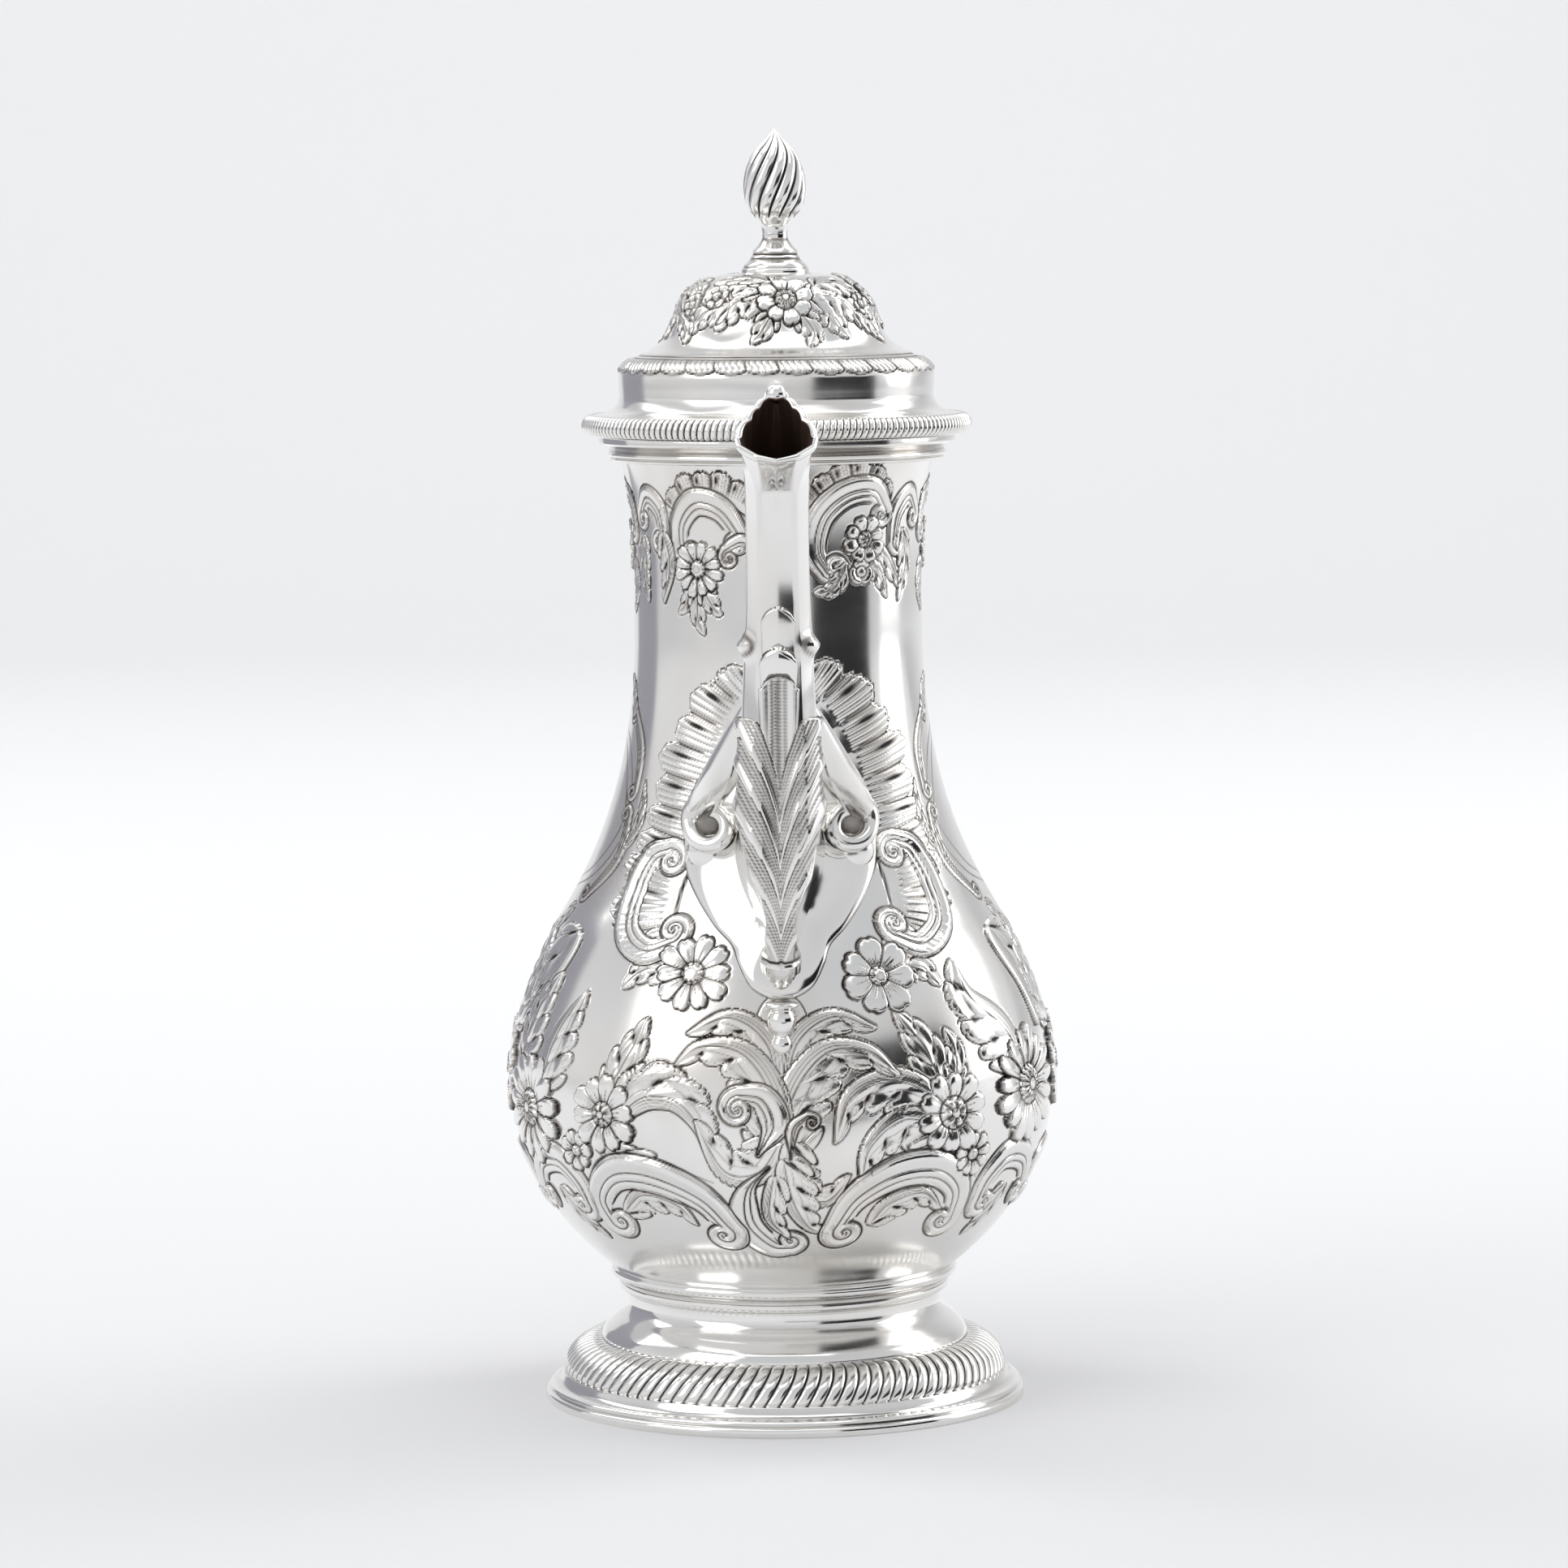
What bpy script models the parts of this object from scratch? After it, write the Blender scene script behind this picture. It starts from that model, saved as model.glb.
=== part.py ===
"""A baluster coffee pot in silver with a wooden scroll handle.

Metres, +Z up. The pot's axis is Z, the foot stands on Z = 0, the spout points
along -Y and the handle along +Y. The lid turns on a hinge pin above the handle.
"""

import math

import bmesh
import bpy
from mathutils import Matrix, Vector

MM = 0.001

# ---- driving dimensions -------------------------------------------------
GAP = 0.3 * MM              # left between pieces that are soldered or seated
STEPS = 32                  # facets round the large turned pieces
SMALL_STEPS = 20            # facets round the small ones

FOOT_RADIUS = 57.0 * MM     # outside of the base rim
RIM_HEIGHT = 6.2 * MM       # base rim, from the table to the gadroons
RIM_WIDTH = 7.0 * MM        # flat face that the pot stands on
GADROON_OUTER = 52.8 * MM   # foot border, at its lower edge
GADROON_INNER = 43.5 * MM   # foot border, at its upper edge
GADROON_TOP = 14.5 * MM
STEM_RADIUS = 36.9 * MM     # narrowest part of the foot
STEM_HEIGHT = 23.5 * MM
BODY_BOTTOM = 31.5 * MM     # where the body leaves its collar
BASE_RADIUS = 40.0 * MM
BELLY_RADIUS = 64.0 * MM
BELLY_HEIGHT = 75.0 * MM
SHOULDER_RADIUS = 50.6 * MM
SHOULDER_HEIGHT = 118.0 * MM
MOUTH_RADIUS = 38.4 * MM
MOUTH_HEIGHT = 228.5 * MM
WAIST_RADIUS = 33.9 * MM
WAIST_DROP = 44.5 * MM      # from the mouth down to the waist
WAIST_HEIGHT = MOUTH_HEIGHT - WAIST_DROP
WALL = 0.9 * MM             # sheet silver of body, foot and lid
WELL_DEPTH = 6.0 * MM       # the body's bottom dips this far inside the collar

COLLAR_PROUD = 1.3 * MM     # reeded wire between foot and body
MOULDING_HEIGHT = 5.8 * MM  # reeded wire under the mouth
MOULDING_PROUD = 3.4 * MM

LID_OVERHANG = 7.3 * MM     # lid's gadroon border, beyond the mouth
LEDGE_WIDTH = 8.6 * MM      # from the border in to the lid's drum
BORDER_HEIGHT = 4.4 * MM
BORDER_WIDTH = 2.6 * MM
BEZEL_CLEARANCE = 0.6 * MM
BEZEL_DEPTH = 6.0 * MM
BEZEL_WALL = 1.0 * MM
LID_RISE = 37.4 * MM        # from the mouth to the lid's flat top
LID_DOME_RADIUS = 22.2 * MM

PEDESTAL_RADIUS = 8.0 * MM
PEDESTAL_HEIGHT = 9.0 * MM
FLAME_RADIUS = 7.2 * MM
FLAME_HEIGHT = 24.5 * MM
FLAME_NECK = 3.0 * MM
SCREW_RADIUS = 1.5 * MM
SCREW_BORE = SCREW_RADIUS + GAP
NUT_RADIUS = 4.2 * MM
NUT_HEIGHT = 2.6 * MM
WASHER_RADIUS = 5.4 * MM
WASHER_HEIGHT = 0.8 * MM

PLATE = 1.2 * MM            # escutcheons on the body under spout and sockets
PLATE_BOTTOM = 101.5 * MM
PLATE_TOP = 163.0 * MM
PLATE_HALF_WIDTH = 22.0 * MM
SPOUT_WALL = 1.3 * MM
SPOUT_HALF_WIDTH = 9.2 * MM
SPOUT_SEAM = 8              # row of the tube's outline where its two lengths meet
SPOUT_BASE_BOTTOM = 104.5 * MM
SPOUT_BASE_TOP = 156.0 * MM
SPOUT_REACH = 112.0 * MM    # axis to the pouring lip
LIP_HEIGHT = 228.3 * MM
SPOUT_TOP = 241.0 * MM
MOUTH_BACK = 97.0 * MM      # axis to the top of the spout's mouth
STRAINER_HOLE = 1.25 * MM
STRAINER_PITCH = 4.6 * MM
STRAINER_ROWS = 7

LEAF = 1.2 * MM             # thickness of the applied leaf and husks
VOLUTE_X = 16.2 * MM
VOLUTE_HEIGHT = 139.0 * MM
VOLUTE_RADIUS = 4.0 * MM
VOLUTE_WIRE = 2.2 * MM
BEAD_RADIUS = 3.1 * MM
LOWER_BEAD_RADIUS = 2.4 * MM

HANDLE_REACH = 112.0 * MM   # axis to the back of the handle
HANDLE_RADIUS = 6.4 * MM
UPPER_SOCKET_HEIGHT = 206.0 * MM
LOWER_SOCKET_HEIGHT = 90.0 * MM
SOCKET_RADIUS = 7.4 * MM
SOCKET_LENGTH = 15.0 * MM
SOCKET_WALL = 1.1 * MM
PIN_RADIUS = 1.0 * MM

HINGE_OFFSET = 2.5 * MM     # from the lid's edge out to the hinge pin
HINGE_RADIUS = 1.9 * MM
HINGE_PIN_RADIUS = 0.9 * MM
HINGE_CLEARANCE = 0.08 * MM
KNUCKLES = 5
KNUCKLE_LENGTH = 3.8 * MM
LEAF_PLATE = 1.0 * MM

LID_RADIUS = MOUTH_RADIUS + LID_OVERHANG
LID_DRUM_RADIUS = LID_RADIUS - LEDGE_WIDTH
HINGE_REACH = LID_RADIUS + HINGE_OFFSET     # pot's axis to the hinge pin's axis

SILVER = (0.90, 0.89, 0.87)
WOOD = (0.045, 0.025, 0.018)


# ---- helpers ------------------------------------------------------------
def clear_scene():
    for obj in list(bpy.data.objects):
        bpy.data.objects.remove(obj)


def collection(name):
    made = bpy.data.collections.new(name)
    bpy.context.scene.collection.children.link(made)
    return made


def finish(name, colour, roughness, metallic):
    made = bpy.data.materials.new(name)
    made.use_nodes = True
    shader = made.node_tree.nodes["Principled BSDF"]
    shader.inputs["Base Color"].default_value = (*colour, 1.0)
    shader.inputs["Roughness"].default_value = roughness
    shader.inputs["Metallic"].default_value = metallic
    return made


def hermite(stations, x):
    """Smooth curve through (x, value, slope) stations, read at x."""
    for (x0, v0, m0), (x1, v1, m1) in zip(stations, stations[1:]):
        if x <= x1:
            break
    span = x1 - x0
    t = min(max((x - x0) / span, 0.0), 1.0)
    return (
        (2 * t**3 - 3 * t**2 + 1) * v0
        + (t**3 - 2 * t**2 + t) * span * m0
        + (3 * t**2 - 2 * t**3) * v1
        + (t**3 - t**2) * span * m1
    )


def smooth_line(points, per_span):
    """Catmull-Rom curve through points of any size, per_span steps between two."""
    padded = [points[0], *points, points[-1]]
    made = []
    for a, b, c, d in zip(padded, padded[1:], padded[2:], padded[3:]):
        for i in range(per_span):
            t = i / per_span
            made.append(tuple(
                0.5 * (2 * q + (r - p) * t + (2 * p - 5 * q + 4 * r - s) * t**2
                       + (3 * q - p - 3 * r + s) * t**3)
                for p, q, r, s in zip(a, b, c, d)
            ))
    made.append(tuple(points[-1]))
    return made


def arc(centre, radius, start, end, count):
    """Points (r, z) on a circle in the profile's plane, from start to end degrees."""
    angles = [math.radians(start + (end - start) * i / count) for i in range(count + 1)]
    return [(centre[0] + radius * math.cos(a), centre[1] + radius * math.sin(a))
            for a in angles]


def add_object(name, mesh, material):
    obj = bpy.data.objects.new(name, mesh)
    obj.data.materials.append(material)
    POT.objects.link(obj)
    return obj


def profile_mesh(name, points, closed):
    mesh = bpy.data.meshes.new(name)
    edges = [(i, i + 1) for i in range(len(points) - 1)]
    if closed:
        edges.append((len(points) - 1, 0))
    mesh.from_pydata([(r, 0, z) for r, z in points], edges, [])
    return mesh


def screw(obj, steps):
    made = obj.modifiers.new("Screw", "SCREW")
    made.steps = steps
    made.render_steps = steps
    made.use_merge_vertices = True
    made.merge_threshold = 0.00001
    made.use_smooth_shade = True
    return made


def turned(name, points, material, closed=True, steps=STEPS):
    """A solid of revolution. points run down the outer side, then back up inside."""
    obj = add_object(name, profile_mesh(name, points, closed), material)
    screw(obj, steps)
    return obj


def turned_shell(name, points, material, thickness=WALL):
    """A sheet of revolution with its wall on the inner side of points."""
    obj = add_object(name, profile_mesh(name, points, False), material)
    screw(obj, STEPS)
    solid = obj.modifiers.new("Solidify", "SOLIDIFY")
    solid.thickness = thickness
    solid.offset = -1.0
    solid.use_even_offset = True
    return obj


def skin(name, outer, inner, material, closed_rings=True):
    """A wall between two lofted skins, each a list of rings of equal length."""
    bm = bmesh.new()
    out = [[bm.verts.new(p) for p in ring] for ring in outer]
    inn = [[bm.verts.new(p) for p in ring] for ring in inner]
    count = len(outer[0])
    around = count if closed_rings else count - 1
    for rows, turn in ((out, False), (inn, True)):
        for low, high in zip(rows, rows[1:]):
            for i in range(around):
                j = (i + 1) % count
                face = [low[i], low[j], high[j], high[i]]
                bm.faces.new(face[::-1] if turn else face)
    for i in range(around):
        j = (i + 1) % count
        bm.faces.new([out[0][j], out[0][i], inn[0][i], inn[0][j]])
        bm.faces.new([out[-1][i], out[-1][j], inn[-1][j], inn[-1][i]])
    if not closed_rings:
        for low, high, low_in, high_in in zip(out, out[1:], inn, inn[1:]):
            bm.faces.new([low[0], high[0], high_in[0], low_in[0]])
            bm.faces.new([low_in[-1], high_in[-1], high[-1], low[-1]])
    bmesh.ops.recalc_face_normals(bm, faces=bm.faces)
    mesh = bpy.data.meshes.new(name)
    bm.to_mesh(mesh)
    bm.free()
    return add_object(name, mesh, material)


def rod(name, radius, length, axis, centre, material, sides=16):
    """A cylinder along X, Y or Z, centred."""
    bm = bmesh.new()
    bmesh.ops.create_cone(bm, cap_ends=True, segments=sides, radius1=radius,
                          radius2=radius, depth=length)
    mesh = bpy.data.meshes.new(name)
    bm.to_mesh(mesh)
    bm.free()
    obj = add_object(name, mesh, material)
    obj.rotation_euler = {"X": (0, math.pi / 2, 0), "Y": (math.pi / 2, 0, 0), "Z": (0, 0, 0)}[axis]
    obj.location = centre
    return obj


def block(name, low, high, material):
    bm = bmesh.new()
    bmesh.ops.create_cube(bm, size=1.0)
    mesh = bpy.data.meshes.new(name)
    for vert in bm.verts:
        vert.co = [lo + (hi - lo) * (c + 0.5) for c, lo, hi in zip(vert.co, low, high)]
    bm.to_mesh(mesh)
    bm.free()
    return add_object(name, mesh, material)


def as_cutter(obj):
    POT.objects.unlink(obj)
    CUTTERS.objects.link(obj)
    obj.hide_render = True
    obj.display_type = "WIRE"
    return obj


def boolean(target, other, operation):
    made = target.modifiers.new(operation.title(), "BOOLEAN")
    made.operation = operation
    made.object = as_cutter(other)


def wire(name, points, radius, material, radii=None, bevel_resolution=2):
    """A round tube along points with filled caps."""
    curve = bpy.data.curves.new(name, "CURVE")
    curve.dimensions = "3D"
    curve.bevel_depth = radius
    curve.bevel_resolution = bevel_resolution
    curve.use_fill_caps = True
    spline = curve.splines.new("POLY")
    spline.points.add(len(points) - 1)
    for i, point in enumerate(points):
        spline.points[i].co = (*point, 1.0)
        spline.points[i].radius = radii[i] if radii else 1.0
    obj = bpy.data.objects.new(name, curve)
    obj.data.materials.append(material)
    POT.objects.link(obj)
    return obj


def turned_along(name, points, radii, material, sides=16):
    """A solid round bar along points that all lie in the plane X = 0."""
    bm = bmesh.new()
    across = Vector((1, 0, 0))
    path = [Vector(p) for p in points]
    rings = []
    for i, (point, radius) in enumerate(zip(path, radii)):
        ahead, behind = path[min(i + 1, len(path) - 1)], path[max(i - 1, 0)]
        up = across.cross((ahead - behind).normalized())
        angles = [2 * math.pi * k / sides for k in range(sides)]
        rings.append([bm.verts.new(point + radius * (across * math.cos(a) + up * math.sin(a)))
                      for a in angles])
    for low, high in zip(rings, rings[1:]):
        for k in range(sides):
            bm.faces.new([low[k], low[(k + 1) % sides], high[(k + 1) % sides], high[k]])
    bm.faces.new(rings[0][::-1])
    bm.faces.new(rings[-1])
    bmesh.ops.recalc_face_normals(bm, faces=bm.faces)
    mesh = bpy.data.meshes.new(name)
    bm.to_mesh(mesh)
    bm.free()
    return add_object(name, mesh, material)


# ---- body and foot ------------------------------------------------------
BODY_LINE = (
    (BODY_BOTTOM, BASE_RADIUS, 1.25),
    (BELLY_HEIGHT, BELLY_RADIUS, 0.0),
    (SHOULDER_HEIGHT, SHOULDER_RADIUS, -0.60),
    (WAIST_HEIGHT, WAIST_RADIUS, 0.0),
    (MOUTH_HEIGHT, MOUTH_RADIUS, 0.35),
)


def body_radius(z):
    return hermite(BODY_LINE, z)


def on_body(x, z, lift, side):
    """The point at x and z that stands lift outside the body; side -1 is the front."""
    return (x, side * math.sqrt((body_radius(z) + lift) ** 2 - x**2), z)


def steps_between(low, high, count):
    return [low + (high - low) * i / count for i in range(count + 1)]


def well_outline():
    """The body's bottom, from the collar to the axis."""
    return [(BASE_RADIUS * math.sin(a), BODY_BOTTOM - WELL_DEPTH * math.cos(a))
            for a in (math.radians(angle) for angle in (68, 48, 28, 0))]


def make_body():
    side = [(body_radius(z), z) for z in steps_between(MOUTH_HEIGHT, BODY_BOTTOM, 24)]
    body = turned_shell("body_shell", side + well_outline(), METAL)
    middle = (SPOUT_BASE_BOTTOM + SPOUT_BASE_TOP) / 2
    bm = bmesh.new()
    for row in range(STRAINER_ROWS):
        z = middle + (row - (STRAINER_ROWS - 1) / 2) * STRAINER_PITCH
        for column in ((-1, 0, 1) if row % 2 == 0 else (-0.5, 0.5)):
            made = bmesh.ops.create_cone(bm, cap_ends=True, segments=8, radius1=STRAINER_HOLE,
                                         radius2=STRAINER_HOLE, depth=BELLY_RADIUS)
            bmesh.ops.rotate(bm, verts=made["verts"], matrix=TURN_TO_Y)
            bmesh.ops.translate(bm, verts=made["verts"],
                                vec=(column * STRAINER_PITCH, -BELLY_RADIUS * 0.75, z))
    mesh = bpy.data.meshes.new("strainer_drills")
    bm.to_mesh(mesh)
    bm.free()
    boolean(body, add_object("strainer_drills", mesh, METAL), "DIFFERENCE")


def foot_seat():
    """Height of the foot's top edge, just under the body's bottom."""
    share = STEM_RADIUS / BASE_RADIUS
    return BODY_BOTTOM - WELL_DEPTH * math.sqrt(1 - share**2) - GAP - 0.2 * MM


def make_foot():
    seat = foot_seat()
    lip = RIM_HEIGHT - 1.4 * MM
    shell = [
        (STEM_RADIUS + 0.2 * MM, seat),
        (STEM_RADIUS, STEM_HEIGHT),
        (STEM_RADIUS + 0.12 * (GADROON_INNER - STEM_RADIUS), STEM_HEIGHT - 3.0 * MM),
        (STEM_RADIUS + 0.42 * (GADROON_INNER - STEM_RADIUS), STEM_HEIGHT - 6.0 * MM),
        (GADROON_INNER - 0.4 * MM, GADROON_TOP - 0.9 * MM),
        (GADROON_OUTER - 3.4 * MM, RIM_HEIGHT + 1.2 * MM),
        (GADROON_OUTER - 2.0 * MM, lip),
    ]
    turned_shell("foot_shell", shell, METAL)

    low = (GADROON_OUTER, RIM_HEIGHT + GAP)
    border = [
        (GADROON_INNER, GADROON_TOP),
        (GADROON_INNER + 0.40 * (GADROON_OUTER - GADROON_INNER), GADROON_TOP - 0.7 * MM),
        (GADROON_INNER + 0.78 * (GADROON_OUTER - GADROON_INNER), GADROON_TOP - 3.2 * MM),
        (GADROON_OUTER - 0.5 * MM, RIM_HEIGHT + 2.4 * MM),
        low,
        (GADROON_OUTER - 1.6 * MM, low[1]),
        (GADROON_OUTER - 3.0 * MM, low[1] + 1.4 * MM),
        (GADROON_INNER + 0.3 * MM, GADROON_TOP - 0.6 * MM),
    ]
    turned("foot_gadroon_border", border, METAL)

    inner = FOOT_RADIUS - RIM_WIDTH
    rim = [
        (GADROON_OUTER + 0.2 * MM, RIM_HEIGHT),
        (GADROON_OUTER + 1.0 * MM, 4.3 * MM),
        (FOOT_RADIUS - 0.9 * MM, 3.5 * MM),
        (FOOT_RADIUS - 0.9 * MM, 2.5 * MM),
        (FOOT_RADIUS, 2.1 * MM),
        (FOOT_RADIUS, 0.0),
        (inner, 0.0),
        (inner, lip - GAP - 1.0 * MM),
        (inner + 0.6 * MM, lip - GAP),
        (GADROON_OUTER - 1.5 * MM, lip - GAP),
        (GADROON_OUTER - 1.5 * MM, RIM_HEIGHT),
    ]
    turned("foot_base_rim", rim, METAL)


def make_collar():
    """Reeded wire that hides the joint of foot and body."""
    low = STEM_HEIGHT + 1.5 * MM
    top = BODY_BOTTOM + 0.2 * MM
    split = low + 0.42 * (top - low)
    inner = STEM_RADIUS + 0.2 * MM + GAP
    outline = [(BASE_RADIUS + GAP + 0.3 * MM, top)]
    outline += arc((BASE_RADIUS - 1.1 * MM + 0.4 * COLLAR_PROUD, (top + split) / 2),
                   (top - split) / 2, 62, -80, 4)
    outline += arc((STEM_RADIUS + 0.6 * COLLAR_PROUD, (split + low) / 2),
                   (split - low) / 2, 60, -85, 4)
    outline += [(inner, low), (inner, foot_seat() - 0.6 * MM)]
    outline += [(BASE_RADIUS * 0.985 + GAP, BODY_BOTTOM - 1.2 * MM)]
    turned("foot_collar", outline, METAL)


def make_mouth_moulding():
    low = MOUTH_HEIGHT - MOULDING_HEIGHT
    top = MOUTH_HEIGHT
    inner = [(body_radius(z) + GAP, z) for z in (low, low + MOULDING_HEIGHT / 2, top)]
    neck = body_radius(low)
    outline = [
        (MOUTH_RADIUS + MOULDING_PROUD, top),
        (MOUTH_RADIUS + MOULDING_PROUD, top - 1.6 * MM),
        (MOUTH_RADIUS + 1.6 * MM, top - 2.5 * MM),
        (MOUTH_RADIUS + 0.9 * MM, low + 1.6 * MM),
    ]
    outline += arc((neck + 1.0 * MM, low + 0.8 * MM), 0.8 * MM, 50, -80, 3)
    turned("mouth_moulding", outline + inner, METAL)


# ---- lid ----------------------------------------------------------------
SEAT = MOUTH_HEIGHT + GAP   # underside of the lid
LID_TOP = MOUTH_HEIGHT + LID_RISE
FLANGE_RADIUS = LID_RADIUS - BORDER_WIDTH - GAP


def make_lid():
    drum = LID_DRUM_RADIUS
    dome = LID_DOME_RADIUS
    rise = LID_RISE
    outline = [
        (SCREW_BORE, LID_TOP),
        (PEDESTAL_RADIUS + 0.5 * MM, LID_TOP),
        (dome * 0.72, LID_TOP - 0.040 * rise),
        (dome * 0.92, LID_TOP - 0.125 * rise),
        (dome * 1.03, LID_TOP - 0.24 * rise),
        (dome * 1.13, LID_TOP - 0.36 * rise),
        (dome * 1.28, LID_TOP - 0.45 * rise),
        (dome * 1.44, LID_TOP - 0.505 * rise),
        (drum * 0.955, LID_TOP - 0.555 * rise),
        (drum, LID_TOP - 0.625 * rise),
        (drum, LID_TOP - 0.69 * rise),
        (drum * 0.993, LID_TOP - 0.78 * rise),
        (drum * 1.02, LID_TOP - 0.825 * rise),
        (drum * 1.07, LID_TOP - 0.850 * rise),
        (FLANGE_RADIUS, SEAT + BORDER_HEIGHT * 0.80),
    ]
    turned_shell("lid_shell", outline, METAL)

    radius, top = BORDER_WIDTH * 0.9, SEAT + BORDER_HEIGHT
    centre = (LID_RADIUS - radius, SEAT + BORDER_HEIGHT / 2)
    border = [(FLANGE_RADIUS + GAP, top)]
    border += [(centre[0] + radius * math.cos(a), centre[1] + BORDER_HEIGHT / 2 * math.sin(a))
               for a in (math.radians(angle) for angle in (72, 36, 0, -36, -72))]
    border += [(FLANGE_RADIUS + GAP, SEAT)]
    turned("lid_gadroon_border", border, METAL)

    low = MOUTH_HEIGHT - BEZEL_DEPTH
    throat = min(body_radius(z) for z in steps_between(low, MOUTH_HEIGHT, 8))
    outer = throat - 1.5 * WALL - BEZEL_CLEARANCE
    bezel = [
        (FLANGE_RADIUS, SEAT + BEZEL_WALL),
        (FLANGE_RADIUS, SEAT),
        (outer, SEAT),
        (outer, low),
        (outer - BEZEL_WALL, low),
        (outer - BEZEL_WALL, SEAT + BEZEL_WALL),
    ]
    turned("lid_bezel", bezel, METAL)


def make_finial():
    base = LID_TOP + GAP
    top = base + PEDESTAL_HEIGHT
    pedestal = [
        (FLAME_NECK, top),
        (FLAME_NECK, top - 0.22 * PEDESTAL_HEIGHT),
        (FLAME_NECK * 1.5, top - 0.40 * PEDESTAL_HEIGHT),
        (PEDESTAL_RADIUS * 0.68, top - 0.47 * PEDESTAL_HEIGHT),
        (PEDESTAL_RADIUS * 0.72, top - 0.57 * PEDESTAL_HEIGHT),
        (PEDESTAL_RADIUS * 0.86, top - 0.66 * PEDESTAL_HEIGHT),
        (PEDESTAL_RADIUS * 0.95, top - 0.84 * PEDESTAL_HEIGHT),
        (PEDESTAL_RADIUS, top - 0.90 * PEDESTAL_HEIGHT),
        (PEDESTAL_RADIUS, base),
        (SCREW_BORE, base),
        (SCREW_BORE, top),
    ]
    turned("finial_pedestal", pedestal, METAL, steps=SMALL_STEPS)

    flame_low = top + GAP
    flame = [(0.0, flame_low + FLAME_HEIGHT)]
    for share in (0.95, 0.85, 0.72, 0.58, 0.44, 0.32, 0.20, 0.10):
        swell = math.sin(math.pi * (1 - share) ** 0.72)
        neck = FLAME_NECK * (1 - share) ** 3
        flame.append((neck + (FLAME_RADIUS - neck) * swell, flame_low + share * FLAME_HEIGHT))
    flame += [(FLAME_NECK, flame_low), (SCREW_BORE, flame_low)]
    flame += [(SCREW_BORE, flame_low + 4.3 * MM), (0.0, flame_low + 4.3 * MM)]
    turned("finial_flame", flame, METAL, closed=False, steps=SMALL_STEPS)

    underside = LID_TOP - WALL - GAP
    washer_low = underside - WASHER_HEIGHT
    turned("finial_washer", [
        (WASHER_RADIUS, underside), (WASHER_RADIUS, washer_low),
        (SCREW_BORE, washer_low), (SCREW_BORE, underside)], METAL, steps=SMALL_STEPS)
    nut_top = washer_low - GAP
    turned("finial_nut", [
        (NUT_RADIUS, nut_top), (NUT_RADIUS, nut_top - NUT_HEIGHT),
        (SCREW_BORE, nut_top - NUT_HEIGHT), (SCREW_BORE, nut_top)], METAL, steps=SMALL_STEPS)
    low = nut_top - NUT_HEIGHT - 1.0 * MM
    high = flame_low + 4.0 * MM
    rod("finial_screw", SCREW_RADIUS, high - low, "Z", (0, 0, (high + low) / 2), METAL)


# ---- spout --------------------------------------------------------------
RING = 20                   # points round the spout


def spout_pairs():
    """Front and back edges of the spout with its half width, base to mouth.

    Each row is (front reach, front height, back reach, back height, half width)."""
    width = SPOUT_HALF_WIDTH
    low, top = SPOUT_BASE_BOTTOM, SPOUT_BASE_TOP
    bend = body_radius(SPOUT_BASE_BOTTOM)
    climb = LIP_HEIGHT - low
    swell = (SPOUT_REACH - bend) / 53.0
    start = body_radius(top)
    back = (MOUTH_BACK - start) / 60.0
    lift = (SPOUT_TOP - top) / 85.0
    return [
        (bend + 10.0 * swell, low + 0.055 * climb, start + 8.5 * back, top + 1.0 * lift, width),
        (bend + 20.5 * swell, low + 0.155 * climb, start + 21.5 * back, top + 3.5 * lift, width),
        (bend + 26.5 * swell, low + 0.29 * climb, start + 31.5 * back, top + 9.5 * lift, width * 0.98),
        (bend + 28.5 * swell, low + 0.44 * climb, start + 36.0 * back, top + 19.0 * lift, width * 0.92),
        (bend + 28.4 * swell, low + 0.585 * climb, start + 37.5 * back, top + 30.0 * lift, width * 0.85),
        (bend + 30.0 * swell, low + 0.73 * climb, start + 39.5 * back, top + 43.0 * lift, width * 0.79),
        (bend + 34.5 * swell, low + 0.845 * climb, start + 43.0 * back, top + 57.0 * lift, width * 0.77),
        (bend + 41.5 * swell, low + 0.93 * climb, start + 47.5 * back, top + 69.5 * lift, width * 0.79),
    ]


def spout_ring(pair, grow):
    """A section of the spout; grow moves its wall outwards."""
    front, front_z, back, back_z, width = pair
    centre = Vector(((front + back) / 2, (front_z + back_z) / 2))
    arm = Vector((front, front_z)) - centre
    arm += arm.normalized() * grow
    points = []
    for i in range(RING):
        a = 2 * math.pi * i / RING
        along = centre + arm * math.cos(a)
        points.append((-(width + grow) * math.sin(a), -along.x, along.y))
    return points


def base_ring(grow, lift):
    """The spout's first ring, on the body's surface raised by lift."""
    middle = (SPOUT_BASE_BOTTOM + SPOUT_BASE_TOP) / 2
    half = (SPOUT_BASE_TOP - SPOUT_BASE_BOTTOM) / 2 + grow
    points = []
    for i in range(RING):
        a = 2 * math.pi * i / RING
        x = -(SPOUT_HALF_WIDTH + grow) * math.sin(a)
        points.append(on_body(x, middle - half * math.cos(a), lift, -1))
    return points


def mouth_ring(grow):
    """The slanting rim of the spout: a low lip in front, a high point behind."""
    points = []
    for i in range(RING):
        a = 2 * math.pi * i / RING
        share = ((1 + math.cos(a)) / 2) ** 0.6
        reach = MOUTH_BACK - grow * 0.7 + (SPOUT_REACH - MOUTH_BACK + 1.7 * grow) * share
        height = SPOUT_TOP + (LIP_HEIGHT - SPOUT_TOP) * share + grow * 0.3 * math.cos(a + math.pi)
        points.append((-(SPOUT_HALF_WIDTH * 0.87 + grow) * math.sin(a), -reach, height))
    return points


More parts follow.
